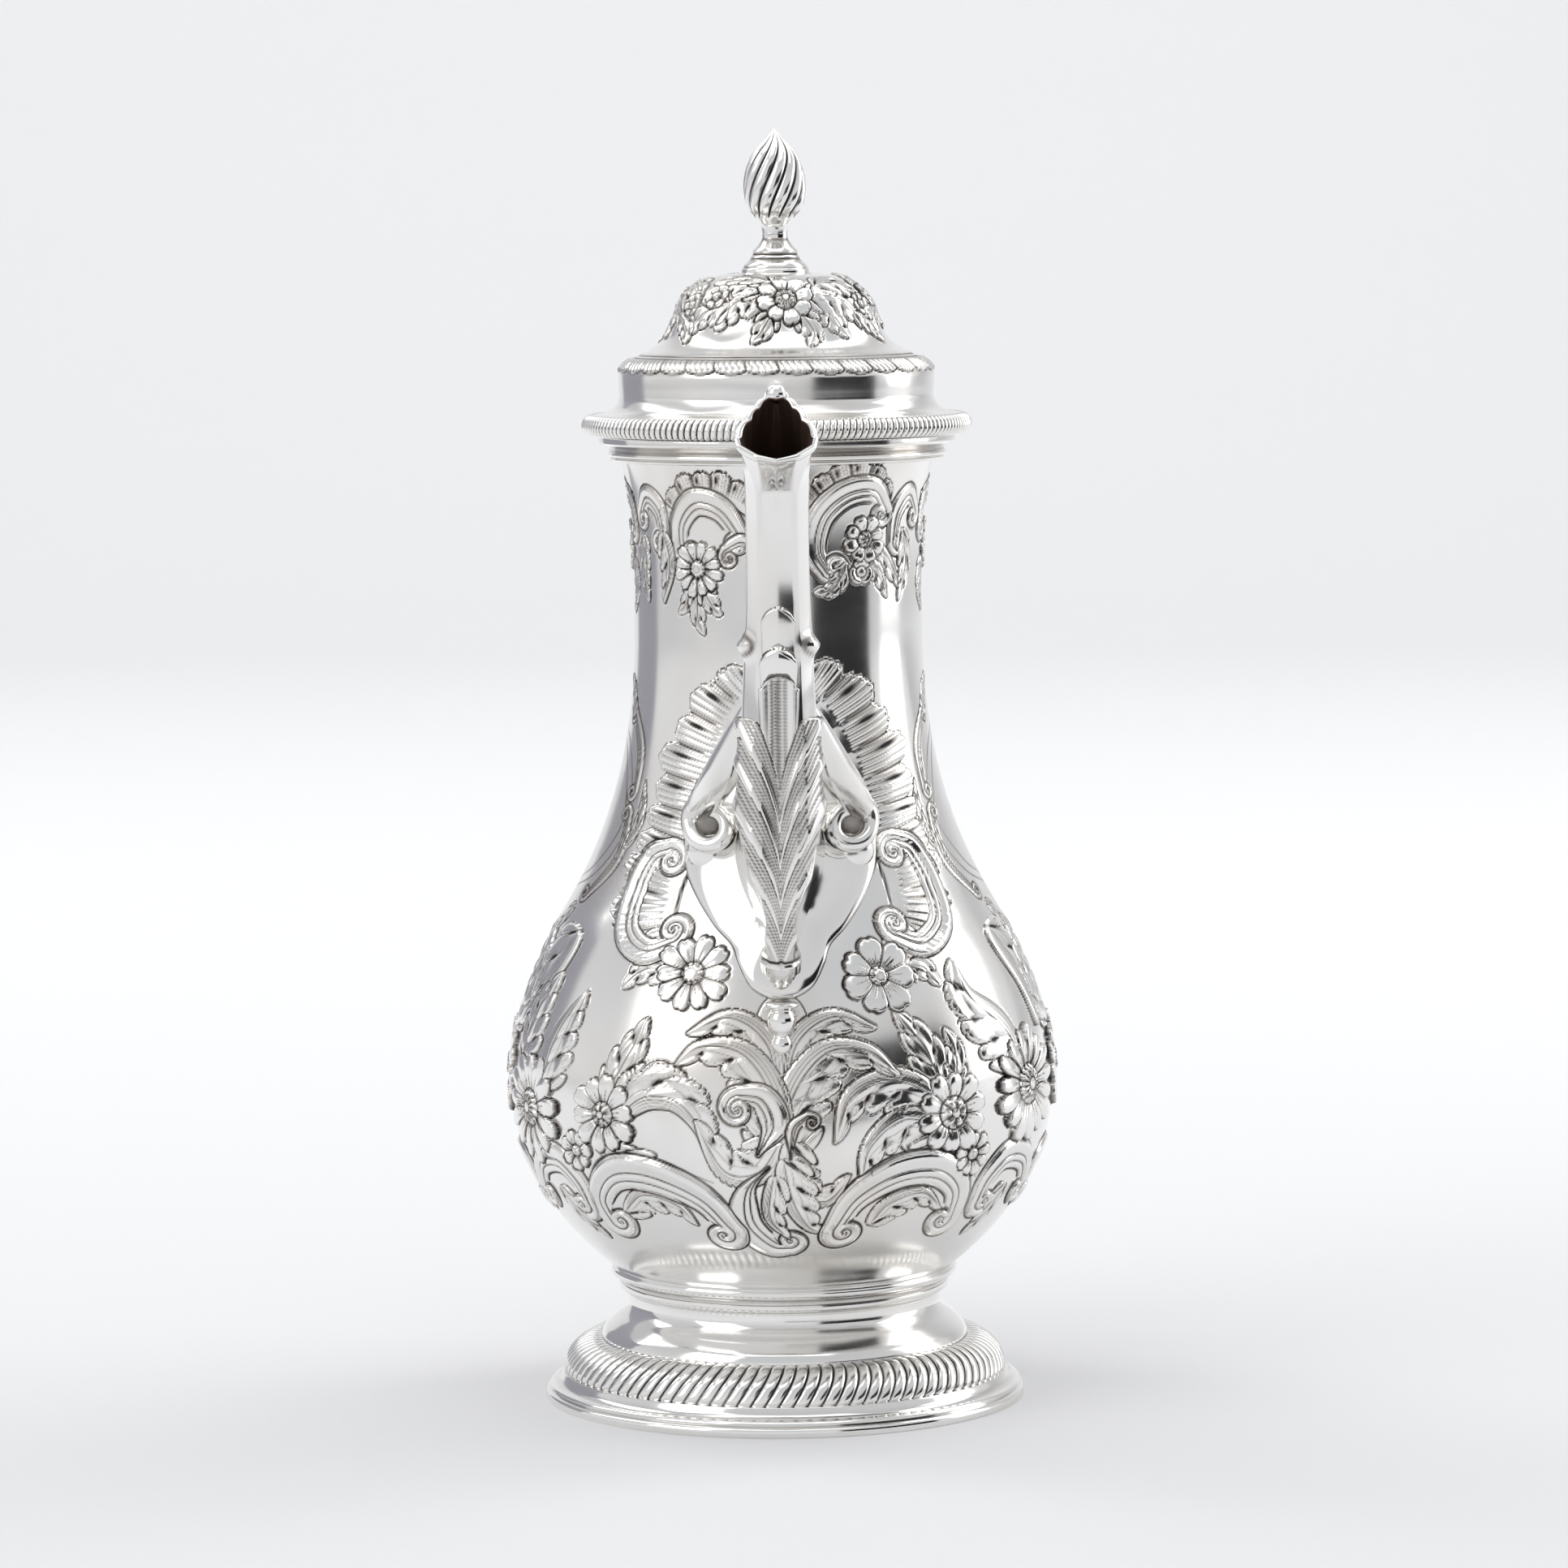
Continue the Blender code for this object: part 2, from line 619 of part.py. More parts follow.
def make_spout():
    """The spout's tube, brazed together from a lower and an upper length."""
    pairs = smooth_line(spout_pairs(), 2)
    seat = PLATE + 2 * GAP
    low, high = pairs[SPOUT_SEAM], pairs[SPOUT_SEAM + 1]
    share = 2 * GAP / (high[1] - low[1])
    above = [tuple(a + (b - a) * share for a, b in zip(low, high)), *pairs[SPOUT_SEAM + 1:]]
    below = pairs[:SPOUT_SEAM + 1]
    wall = -SPOUT_WALL
    lower, upper = ([[base_ring(grow, seat), *(spout_ring(p, grow) for p in below)]
                     for grow in (0, wall)],
                    [[*(spout_ring(p, grow) for p in above), mouth_ring(grow)]
                     for grow in (0, wall)])
    skin("spout_tube", lower[0], lower[1], METAL)
    skin("spout_neck", upper[0], upper[1], METAL)
    make_escutcheon()
    make_leaf(pairs)
    make_volutes()
    make_drop()


def make_escutcheon():
    """The plate between spout and body, open where coffee enters the spout."""
    count = 32
    middle = (PLATE_BOTTOM + PLATE_TOP) / 2
    half = (PLATE_TOP - PLATE_BOTTOM) / 2
    hole_middle = (SPOUT_BASE_BOTTOM + SPOUT_BASE_TOP) / 2
    hole_half = (SPOUT_BASE_TOP - SPOUT_BASE_BOTTOM) / 2 - SPOUT_WALL
    hole_width = SPOUT_HALF_WIDTH - SPOUT_WALL
    skins = []
    for lift in (GAP + PLATE, GAP):
        rings = []
        for share in (0.0, 0.25, 0.5, 0.75, 1.0):
            ring = []
            for i in range(count):
                a = 2 * math.pi * i / count
                narrow = 1 - 0.38 * max(0.0, -math.cos(a)) ** 2
                rim = (PLATE_HALF_WIDTH * narrow * math.sin(a), middle + half * math.cos(a))
                hole = (hole_width * math.sin(a), hole_middle + hole_half * math.cos(a))
                x, z = (h + (r - h) * share for h, r in zip(hole, rim))
                ring.append(on_body(x, z, lift, -1))
            rings.append(ring)
        skins.append(rings)
    skin("spout_escutcheon", skins[0], skins[1], METAL)


def strip(name, pairs, halves, gap, thickness, material):
    """A sheet that lies on the spout's front; halves gives each row's half angle."""
    count = 8
    skins = []
    for grow in (gap + thickness, gap):
        rows = []
        for pair, half in zip(pairs, halves):
            front, front_z, back, back_z, width = pair
            centre = Vector(((front + back) / 2, (front_z + back_z) / 2))
            arm = Vector((front, front_z)) - centre
            arm += arm.normalized() * grow
            row = []
            for i in range(count + 1):
                a = math.radians(half) * (2 * i / count - 1)
                along = centre + arm * math.cos(a)
                row.append(((width + grow) * math.sin(a), -along.x, along.y))
            rows.append(row)
        skins.append(rows)
    skin(name, skins[0], skins[1], material, closed_rings=False)


def make_leaf(pairs):
    strip("spout_leaf", pairs[0:9], (14, 26, 42, 52, 56, 58, 56, 50, 40), GAP, LEAF, METAL)
    strip("spout_husks", pairs[9:12], (40, 36, 24), GAP, LEAF, METAL)


def make_volutes():
    """A scroll on each side of the spout, lying on the escutcheon."""
    lift = PLATE + 2 * GAP + VOLUTE_WIRE
    for name, side in (("spout_volute_left", -1), ("spout_volute_right", 1)):
        arm = [(VOLUTE_X - 3.0 * MM, VOLUTE_HEIGHT + 17 * MM),
               (VOLUTE_X + 1.0 * MM, VOLUTE_HEIGHT + 11 * MM)]
        hook = [(VOLUTE_X + VOLUTE_RADIUS * math.cos(a), VOLUTE_HEIGHT + VOLUTE_RADIUS * math.sin(a))
                for a in (math.radians(50 - 24 * i) for i in range(11))]
        path = [on_body(side * x, z, lift, -1) for x, z in arm + hook]
        radii = [0.6, 0.8] + [1.0] * 9 + [0.8, 0.6]
        wire(name, path, VOLUTE_WIRE, METAL, radii)


def make_drop():
    """Two beads that hang under the escutcheon."""
    top = PLATE_BOTTOM - GAP
    upper = top - 1.4 * MM - BEAD_RADIUS
    lower = upper - 0.86 * (BEAD_RADIUS + LOWER_BEAD_RADIUS)
    outline = [(0.0, top), (BEAD_RADIUS * 1.2, top), (BEAD_RADIUS * 1.2, top - 0.7 * MM)]
    outline += arc((0.0, upper), BEAD_RADIUS, 62, -52, 5)
    outline += arc((0.0, lower), LOWER_BEAD_RADIUS, 48, -90, 5)
    drop = turned("spout_drop", outline, METAL, closed=False, steps=SMALL_STEPS)
    reach = max(body_radius(upper) + BEAD_RADIUS * 1.2, body_radius(lower) + LOWER_BEAD_RADIUS)
    drop.location.y = -(reach + GAP)


# ---- handle -------------------------------------------------------------
def socket_points(height, rise):
    """Root on the body, mouth and direction of a socket that climbs rise per step out."""
    direction = Vector((0, 1, rise)).normalized()
    root = Vector(on_body(0, height, GAP, 1))
    return root, root + direction * SOCKET_LENGTH, direction


def slid_to_body(point, direction):
    """The point where a line through point in direction meets the back of the body."""
    for _ in range(12):
        target = on_body(point.x, point.z, GAP, 1)[1]
        point = point + direction * ((target - point.y) / direction.y)
    return tuple(point)


def make_socket(name, height, rise):
    """A tapering socket whose foot follows the body."""
    root, mouth, direction = socket_points(height, rise)
    across = Vector((1, 0, 0))
    up = across.cross(direction)
    count = 24
    skins = []
    for grow in (0.0, -SOCKET_WALL):
        rings = []
        for share, radius in ((0.0, 1.32), (0.34, 1.03), (0.72, 0.98), (0.76, 1.12), (1.0, 1.12)):
            ring = []
            for i in range(count):
                a = 2 * math.pi * i / count
                size = SOCKET_RADIUS * radius + grow if grow == 0 else SOCKET_RADIUS + grow
                offset = across * size * math.cos(a) + up * size * math.sin(a)
                if share == 0:
                    ring.append(slid_to_body(root + offset, direction))
                else:
                    ring.append(tuple(root + direction * SOCKET_LENGTH * share + offset))
            rings.append(ring)
        skins.append(rings)
    return skin(name, skins[0], skins[1], METAL)


UPPER_RISE, LOWER_RISE = 0.18, 0.62


def make_handle():
    tenon = SOCKET_RADIUS - SOCKET_WALL - GAP
    drills = []
    for place, height, rise in (("upper", UPPER_SOCKET_HEIGHT, UPPER_RISE),
                                ("lower", LOWER_SOCKET_HEIGHT, LOWER_RISE)):
        socket = make_socket(f"handle_{place}_socket", height, rise)
        root, mouth, direction = socket_points(height, rise)
        centre = root + direction * SOCKET_LENGTH * 0.62
        length = 2 * SOCKET_RADIUS * 1.2
        rod(f"handle_{place}_pin", PIN_RADIUS, length, "X", centre, METAL, 12)
        drill = rod(f"{place}_pin_drill", PIN_RADIUS + GAP, 3 * SOCKET_RADIUS, "X", centre, METAL, 12)
        drills.append(drill)
        boolean(socket, drill, "DIFFERENCE")

    root, mouth, direction = socket_points(UPPER_SOCKET_HEIGHT, UPPER_RISE)
    low_root, low_mouth, low_direction = socket_points(LOWER_SOCKET_HEIGHT, LOWER_RISE)
    back = HANDLE_REACH - HANDLE_RADIUS
    tall = mouth.z - low_mouth.z
    start = root + direction * (SOCKET_LENGTH * 0.3)
    end = low_root + low_direction * (SOCKET_LENGTH * 0.3)
    collar = mouth + direction * (GAP + 0.8 * MM)
    low_collar = low_mouth + low_direction * (GAP + 0.8 * MM)
    bend = [
        (0, mouth.y + 0.35 * (back - mouth.y), mouth.z + 0.065 * tall),
        (0, mouth.y + 0.75 * (back - mouth.y), mouth.z + 0.02 * tall),
        (0, back, mouth.z - 0.20 * tall),
        (0, back - 2.2 * MM, mouth.z - 0.42 * tall),
        (0, back - 9.0 * MM, mouth.z - 0.60 * tall),
        (0, back - 15.0 * MM, mouth.z - 0.76 * tall),
        (0, low_mouth.y + 6.0 * MM, low_mouth.z + 0.10 * tall),
    ]
    run = 4.5 * MM
    curve = smooth_line([tuple(collar), tuple(collar + direction * run), *bend,
                         tuple(low_collar + low_direction * run), tuple(low_collar)], 3)
    points = [tuple(start), tuple(mouth + direction * GAP), *curve,
              tuple(low_mouth + low_direction * GAP), tuple(end)]
    radii = [tenon, tenon] + [HANDLE_RADIUS] * len(curve) + [tenon, tenon]
    grip = turned_along("handle_grip", points, radii, TIMBER)
    for drill in drills:
        made = grip.modifiers.new("Difference", "BOOLEAN")
        made.operation = "DIFFERENCE"
        made.object = drill


# ---- hinge --------------------------------------------------------------
def make_hinge():
    """Book hinge behind the lid: knuckles in turn on body and lid, and one pin."""
    height = SEAT + 0.6 * MM
    pitch = KNUCKLE_LENGTH + GAP
    bore = HINGE_PIN_RADIUS + HINGE_CLEARANCE
    moulding = MOUTH_RADIUS + MOULDING_PROUD
    half = KNUCKLES * pitch / 2
    sagitta = moulding - math.sqrt(moulding**2 - half**2)
    body_leaf = block("hinge_body_leaf",
                      (-half + GAP, moulding + GAP, SEAT - GAP - LEAF_PLATE - 0.3 * MM),
                      (half - GAP, HINGE_REACH, SEAT - GAP - 0.3 * MM), METAL)
    lid_leaf = block("hinge_lid_leaf",
                     (-1.5 * pitch + GAP, LID_RADIUS + GAP, height + HINGE_RADIUS * 0.2),
                     (1.5 * pitch - GAP, HINGE_REACH, height + HINGE_RADIUS * 0.2 + LEAF_PLATE), METAL)
    for i in range(KNUCKLES):
        x = (i - (KNUCKLES - 1) / 2) * pitch
        leaf, other = (body_leaf, lid_leaf) if i % 2 == 0 else (lid_leaf, body_leaf)
        knuckle = rod(f"knuckle_{i}", HINGE_RADIUS, KNUCKLE_LENGTH, "X", (x, HINGE_REACH, height), METAL, 20)
        boolean(leaf, knuckle, "UNION")
        relief = rod(f"relief_{i}", HINGE_RADIUS + GAP, KNUCKLE_LENGTH + 2 * GAP, "X",
                     (x, HINGE_REACH, height), METAL, 20)
        boolean(other, relief, "DIFFERENCE")
    for leaf in (body_leaf, lid_leaf):
        drill = rod(f"{leaf.name}_drill", bore, 2 * half + 4 * MM, "X",
                    (0, HINGE_REACH, height), METAL, 24)
        boolean(leaf, drill, "DIFFERENCE")
    rod("hinge_pin", HINGE_PIN_RADIUS, 2 * half + 0.8 * MM, "X", (0, HINGE_REACH, height), METAL, 24)


def main():
    make_body()
    make_foot()
    make_collar()
    make_mouth_moulding()
    make_lid()
    make_finial()
    make_spout()
    make_handle()
    make_hinge()


clear_scene()
TURN_TO_Y = Matrix.Rotation(math.pi / 2, 3, "X")
POT = collection("coffee_pot")
CUTTERS = collection("cutters")
METAL = finish("silver", SILVER, 0.12, 1.0)
TIMBER = finish("ebonised_wood", WOOD, 0.38, 0.0)
main()
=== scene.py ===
"""Silver coffee pot, chased with flowers, leaves and scrolls: the looks."""
import math

import bpy
import numpy as np
from mathutils import Matrix, Vector


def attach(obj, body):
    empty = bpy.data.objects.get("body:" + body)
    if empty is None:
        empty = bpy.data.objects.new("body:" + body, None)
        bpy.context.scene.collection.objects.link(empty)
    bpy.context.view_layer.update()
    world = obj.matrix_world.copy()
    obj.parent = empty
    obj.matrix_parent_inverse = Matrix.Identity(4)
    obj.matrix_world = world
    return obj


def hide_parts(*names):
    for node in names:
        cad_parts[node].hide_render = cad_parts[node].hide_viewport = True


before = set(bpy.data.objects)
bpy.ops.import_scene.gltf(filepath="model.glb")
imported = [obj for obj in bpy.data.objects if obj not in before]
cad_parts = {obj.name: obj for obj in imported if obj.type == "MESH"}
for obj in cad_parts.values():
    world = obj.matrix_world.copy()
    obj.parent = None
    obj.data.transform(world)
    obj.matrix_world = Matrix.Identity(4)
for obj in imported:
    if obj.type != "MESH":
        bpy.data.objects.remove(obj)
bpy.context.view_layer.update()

MM = 0.001
FINE = 0.30                 # spacing of the chased mesh, in mm
FRONT_COLUMNS = 672         # chased mesh columns in the front half
PIECE_TRIANGLES = 190000    # the most triangles put in one pressed piece of the body


# ---------------------------------------------------------------- maker's aids
def deselect():
    bpy.ops.object.select_all(action="DESELECT")


def blank(name, columns, rows):
    """A flat sheet of silver, ready to be pressed to shape."""
    deselect()
    bpy.ops.mesh.primitive_grid_add(x_subdivisions=columns, y_subdivisions=rows, size=1)
    sheet = bpy.context.object
    sheet.name = name
    sheet.data.name = name
    for layer in list(sheet.data.uv_layers):
        sheet.data.uv_layers.remove(layer)
    return sheet


def press(name, points, joined=False, normals=None, tarnish_and_shade=None, matting=None):
    """Press a blank over a die: points is rows x columns x 3, in mm."""
    rows, columns = points.shape[:2]
    sheet = blank(name, columns - 1, rows - 1)
    sheet.data.vertices.foreach_set("co", (points.reshape(-1, 3) * MM).ravel())
    mark(sheet, "tarnish_and_shade", tarnish_and_shade)
    mark(sheet, "matting", matting)
    bpy.ops.object.shade_smooth()
    if joined:
        edit(sheet)
        bpy.ops.mesh.remove_doubles(threshold=0.000002)
        bpy.ops.mesh.normals_make_consistent(inside=False)
        bpy.ops.object.mode_set(mode="OBJECT")
    if normals is not None:
        sheet.data.normals_split_custom_set_from_vertices(normals.reshape(-1, 3).tolist())
    sheet.data.update()
    return sheet


def edit(piece):
    """Open a piece for editing with all of it selected."""
    deselect()
    piece.select_set(True)
    bpy.context.view_layer.objects.active = piece
    bpy.ops.object.mode_set(mode="EDIT")
    bpy.ops.mesh.select_all(action="SELECT")


def mark(piece, name, values):
    """Write a value per point that the finishes read."""
    if values is None:
        return
    layer = piece.data.attributes.get(name)
    if layer is None:
        layer = piece.data.attributes.new(name, "FLOAT", "POINT")
    layer.data.foreach_set("value", np.asarray(values, dtype=np.float32).ravel())


def recesses(piece, strength=1.0):
    """Tarnish gathers in hollows: mark each point by how far it lies below its neighbours."""
    mesh = piece.data
    count = len(mesh.vertices)
    co = np.empty(count * 3)
    mesh.vertices.foreach_get("co", co)
    co = co.reshape(-1, 3)
    normal = np.empty(count * 3)
    mesh.vertices.foreach_get("normal", normal)
    normal = normal.reshape(-1, 3)
    edges = np.empty(len(mesh.edges) * 2, dtype=np.int64)
    mesh.edges.foreach_get("vertices", edges)
    edges = edges.reshape(-1, 2)
    total = np.zeros((count, 3))
    number = np.zeros(count)
    length = np.zeros(count)
    gap = co[edges[:, 1]] - co[edges[:, 0]]
    size = np.linalg.norm(gap, axis=1)
    for a, b, sign in ((0, 1, 1.0), (1, 0, -1.0)):
        for axis in range(3):
            total[:, axis] += np.bincount(edges[:, a], gap[:, axis] * sign, count)
        number += np.bincount(edges[:, a], None, count)
        length += np.bincount(edges[:, a], size, count)
    number = np.maximum(number, 1)
    hollow = np.einsum("ij,ij->i", total / number[:, None], normal)
    hollow = hollow / np.maximum(length / number, 1e-9) ** 2 * MM
    for _ in range(2):
        spread = np.bincount(edges[:, 0], hollow[edges[:, 1]], count)
        spread += np.bincount(edges[:, 1], hollow[edges[:, 0]], count)
        hollow = 0.5 * hollow + 0.5 * spread / number
    mark(piece, "tarnish_and_shade", np.clip(hollow * strength, 0, 1))


def turned(name, outline, steps=160, close=True):
    """Turn an outline of (radius, height) in mm on the lathe."""
    deselect()
    bpy.ops.mesh.primitive_plane_add(size=0.001, location=(0, 0, 0))
    piece = bpy.context.object
    piece.name = name
    piece.data.name = name
    edit(piece)
    bpy.ops.mesh.merge(type="CENTER")
    here = Vector((outline[0][0], 0, outline[0][1])) * MM
    bpy.ops.transform.translate(value=here)
    path = list(outline[1:]) + ([outline[0]] if close else [])
    for radius, height in path:
        there = Vector((radius, 0, height)) * MM
        bpy.ops.mesh.extrude_region_move(TRANSFORM_OT_translate={"value": there - here})
        here = there
    bpy.ops.mesh.select_all(action="SELECT")
    bpy.ops.mesh.spin(steps=steps, angle=math.tau, center=(0, 0, 0), axis=(0, 0, 1))
    bpy.ops.mesh.select_all(action="SELECT")
    bpy.ops.mesh.remove_doubles(threshold=0.000003)
    bpy.ops.mesh.normals_make_consistent(inside=False)
    bpy.ops.object.mode_set(mode="OBJECT")
    bpy.ops.object.shade_smooth_by_angle(angle=math.radians(38))
    for layer in list(piece.data.uv_layers):
        piece.data.uv_layers.remove(layer)
    return piece


def drawn_wire(name, points, thickness, radii=None):
    """Solid wire drawn along points in mm, its thickness changing by radii."""
    curve = bpy.data.curves.new(name, "CURVE")
    curve.dimensions = "3D"
    curve.bevel_depth = thickness * MM
    curve.bevel_resolution = 6
    curve.resolution_u = 8
    curve.use_fill_caps = True
    spline = curve.splines.new("NURBS")
    spline.points.add(len(points) - 1)
    for i, point in enumerate(points):
        spline.points[i].co = (point[0] * MM, point[1] * MM, point[2] * MM, 1)
        spline.points[i].radius = radii[i] if radii else 1.0
    spline.order_u = 4
    spline.use_endpoint_u = True
    piece = bpy.data.objects.new(name, curve)
    bpy.context.scene.collection.objects.link(piece)
    deselect()
    piece.select_set(True)
    bpy.context.view_layer.objects.active = piece
    bpy.ops.object.convert(target="MESH")
    piece = bpy.context.object
    edit(piece)
    bpy.ops.mesh.remove_doubles(threshold=0.000004)
    bpy.ops.mesh.normals_make_consistent(inside=False)
    bpy.ops.object.mode_set(mode="OBJECT")
    bpy.ops.object.shade_smooth_by_angle(angle=math.radians(50))
    return piece


def joined(name, pieces):
    """Several pieces made one."""
    deselect()
    for piece in pieces:
        piece.select_set(True)
    bpy.context.view_layer.objects.active = pieces[0]
    bpy.ops.object.join()
    pieces[0].name = name
    pieces[0].data.name = name
    return pieces[0]


def ball(name, centre, radius, flatten=1.0):
    """A round bead, or a bowl when flattened from front to back."""
    deselect()
    bpy.ops.mesh.primitive_uv_sphere_add(segments=32, ring_count=20, radius=radius * MM,
                                         location=(0, 0, 0))
    piece = bpy.context.object
    edit(piece)
    bpy.ops.transform.resize(value=(1, flatten, 1))
    bpy.ops.transform.translate(value=Vector(centre) * MM)
    bpy.ops.object.mode_set(mode="OBJECT")
    bpy.ops.object.shade_smooth()
    for layer in list(piece.data.uv_layers):
        piece.data.uv_layers.remove(layer)
    piece.name = name
    return piece


def hermite(stations, x):
    """A smooth curve through stations of (place, value, slope), read at x."""
    x = np.asarray(x, dtype=float)
    xs, vs, ms = (np.array(column, dtype=float) for column in zip(*stations))
    k = np.clip(np.searchsorted(xs, x, side="right") - 1, 0, len(xs) - 2)
    span = xs[k + 1] - xs[k]
    t = np.clip((x - xs[k]) / span, 0, 1)
    return ((2 * t**3 - 3 * t**2 + 1) * vs[k] + (t**3 - 2 * t**2 + t) * span * ms[k]
            + (3 * t**2 - 2 * t**3) * vs[k + 1] + (t**3 - t**2) * span * ms[k + 1])


def smooth_line(points, per_span):
    """A curve through all the points, with per_span steps between neighbours."""
    p = np.array(points, dtype=float)
    q = np.vstack([2 * p[0] - p[1], p, 2 * p[-1] - p[-2]])
    made = []
    for a, b, c, d in zip(q, q[1:], q[2:], q[3:]):
        for t in np.arange(per_span) / per_span:
            made.append(0.5 * (2 * b + (c - a) * t + (2 * a - 5 * b + 4 * c - d) * t**2
                               + (3 * b - a - 3 * c + d) * t**3))
    made.append(p[-1])
    return np.array(made)


def step(x, low, high):
    """0 below low, 1 above high, and an easy rise between."""
    t = np.clip((x - low) / (high - low), 0, 1)
    return t * t * (3 - 2 * t)


def bell(x, width):
    """1 at x = 0, falling away softly on both sides."""
    return np.exp(-(x / width) ** 2)


def surface_normals(points):
    """The direction that each point of a pressed sheet faces."""
    across = np.gradient(points, axis=1)
    up = np.gradient(points, axis=0)
    normal = np.cross(across, up)
    size = np.linalg.norm(normal, axis=2, keepdims=True)
    return normal / np.maximum(size, 1e-12)


# ------------------------------------------------------------------- finishes
def add_group(name, inputs, outputs):
    """An empty node group with its sockets."""
    group = bpy.data.node_groups.new(name, "ShaderNodeTree")
    for label, kind, value in inputs:
        socket = group.interface.new_socket(name=label, in_out="INPUT", socket_type=kind)
        socket.default_value = value
    for label, kind in outputs:
        group.interface.new_socket(name=label, in_out="OUTPUT", socket_type=kind)
    entry = group.nodes.new("NodeGroupInput")
    leave = group.nodes.new("NodeGroupOutput")
    return group, entry, leave


def node(tree, kind, settings=(), **inputs):
    """Add a node; i0, i1 and so on name an input by number, other words by its label."""
    made = tree.nodes.new(kind)
    for key, value in settings:
        setattr(made, key, value)
    for label, value in inputs.items():
        socket = made.inputs[int(label[1:])] if label[0] == "i" and label[1:].isdigit() \
            else made.inputs[label.replace("_", " ")]
        if isinstance(value, bpy.types.NodeSocket):
            tree.links.new(value, socket)
        else:
            socket.default_value = value
    return made


def maths(tree, operation, a, b=0.0, clamp=False):
    """One sum in a node tree."""
    made = node(tree, "ShaderNodeMath", (("operation", operation), ("use_clamp", clamp)), i0=a, i1=b)
    return made.outputs[0]


def make_tarnish_and_shade_group():
    """Recess in, colour and dullness out: clean metal turning to sulphide in the hollows, and painted shade
    where a piece is marked dark for it.
    """
    colour, number = "NodeSocketColor", "NodeSocketFloat"
    group, entry, leave = add_group("tarnish_and_painted_shade", (
        ("Recess", number, 0.0), ("Depth", number, 1.0), ("Film", number, 0.15),
        ("Clean", colour, (0.93, 0.925, 0.91, 1)), ("Warm", colour, (0.62, 0.55, 0.47, 1)),
        ("Dark", colour, (0.10, 0.095, 0.10, 1))), (("Colour", colour), ("Dullness", number)))
    place = node(group, "ShaderNodeTexCoord")
    cloud = node(group, "ShaderNodeTexNoise", Vector=place.outputs["Object"], Scale=70.0,
                 Detail=4.0, Roughness=0.6)
    patchy = node(group, "ShaderNodeMapRange", i0=cloud.outputs[0], i1=0.32, i2=0.72, i3=0.65, i4=1.25)
    deep = maths(group, "MULTIPLY", entry.outputs["Recess"], entry.outputs["Depth"])
    deep = maths(group, "MULTIPLY", deep, patchy.outputs[0])
    deep = maths(group, "MULTIPLY", deep, 1.35, True)
    haze = node(group, "ShaderNodeTexNoise", Vector=place.outputs["Object"], Scale=22.0,
                Detail=3.0, Roughness=0.55)
    hazy = node(group, "ShaderNodeMapRange", i0=haze.outputs[0], i1=0.5, i2=0.78, i3=0.0, i4=1.0)
    film = maths(group, "MULTIPLY", hazy.outputs[0], entry.outputs["Film"])
    halo = maths(group, "MULTIPLY", deep, 0.9)
    warm = maths(group, "ADD", film, halo, True)
    first = node(group, "ShaderNodeMix", (("data_type", "RGBA"),), i0=warm,
                 i6=entry.outputs["Clean"], i7=entry.outputs["Warm"])
    second = node(group, "ShaderNodeMix", (("data_type", "RGBA"),), i0=deep,
                  i6=first.outputs[2], i7=entry.outputs["Dark"])
    group.links.new(second.outputs[2], leave.inputs["Colour"])
    dull = maths(group, "MAXIMUM", deep, film)
    group.links.new(dull, leave.inputs["Dullness"])
    return group


def make_polish_group():
    """Hand polishing: roughness that wanders, and faint waves left by the hammer."""
    number = "NodeSocketFloat"
    group, entry, leave = add_group("hand_polish", (
        ("Roughness", number, 0.12), ("Wander", number, 0.06), ("Dullness", number, 0.0),
        ("Dull roughness", number, 0.5)), (("Roughness", number), ("Height", number)))
    place = node(group, "ShaderNodeTexCoord")
    rub = node(group, "ShaderNodeTexNoise", Vector=place.outputs["Object"], Scale=160.0,
               Detail=5.0, Roughness=0.7)
    spread = maths(group, "SUBTRACT", rub.outputs[0], 0.5)
    spread = maths(group, "MULTIPLY", spread, entry.outputs["Wander"])
    base = maths(group, "ADD", entry.outputs["Roughness"], spread)
    room = maths(group, "SUBTRACT", entry.outputs["Dull roughness"], base)
    extra = maths(group, "MULTIPLY", room, entry.outputs["Dullness"])
    made = maths(group, "ADD", base, extra, True)
    group.links.new(made, leave.inputs["Roughness"])
    waves = node(group, "ShaderNodeTexNoise", Vector=place.outputs["Object"], Scale=55.0,
                 Detail=1.0, Roughness=0.4)
    nicks = node(group, "ShaderNodeTexNoise", Vector=place.outputs["Object"], Scale=900.0,
                 Detail=2.0, Roughness=0.5)
    both = maths(group, "MULTIPLY", nicks.outputs[0], 0.04)
    both = maths(group, "ADD", both, waves.outputs[0])
    group.links.new(both, leave.inputs["Height"])
    return group


def make_matting_group():
    """Ground stippled with a matting punch, where the mask says so."""
    number = "NodeSocketFloat"
    group, entry, leave = add_group("matted_ground", (
        ("Mask", number, 0.0), ("Dots per metre", number, 1500.0)),
        (("Height", number), ("Pits", number)))
    place = node(group, "ShaderNodeTexCoord")
    dots = node(group, "ShaderNodeTexVoronoi", (("feature", "F1"),), Vector=place.outputs["Object"],
                Scale=entry.outputs["Dots per metre"])
    round_pit = node(group, "ShaderNodeMapRange", i0=dots.outputs["Distance"], i1=0.1, i2=0.5,
                     i3=0.0, i4=1.0)
    height = maths(group, "MULTIPLY", round_pit.outputs[0], entry.outputs["Mask"])
    group.links.new(height, leave.inputs["Height"])
    pit = maths(group, "SUBTRACT", 1.0, round_pit.outputs[0])
    pit = maths(group, "MULTIPLY", pit, entry.outputs["Mask"])
    group.links.new(pit, leave.inputs["Pits"])
    return group


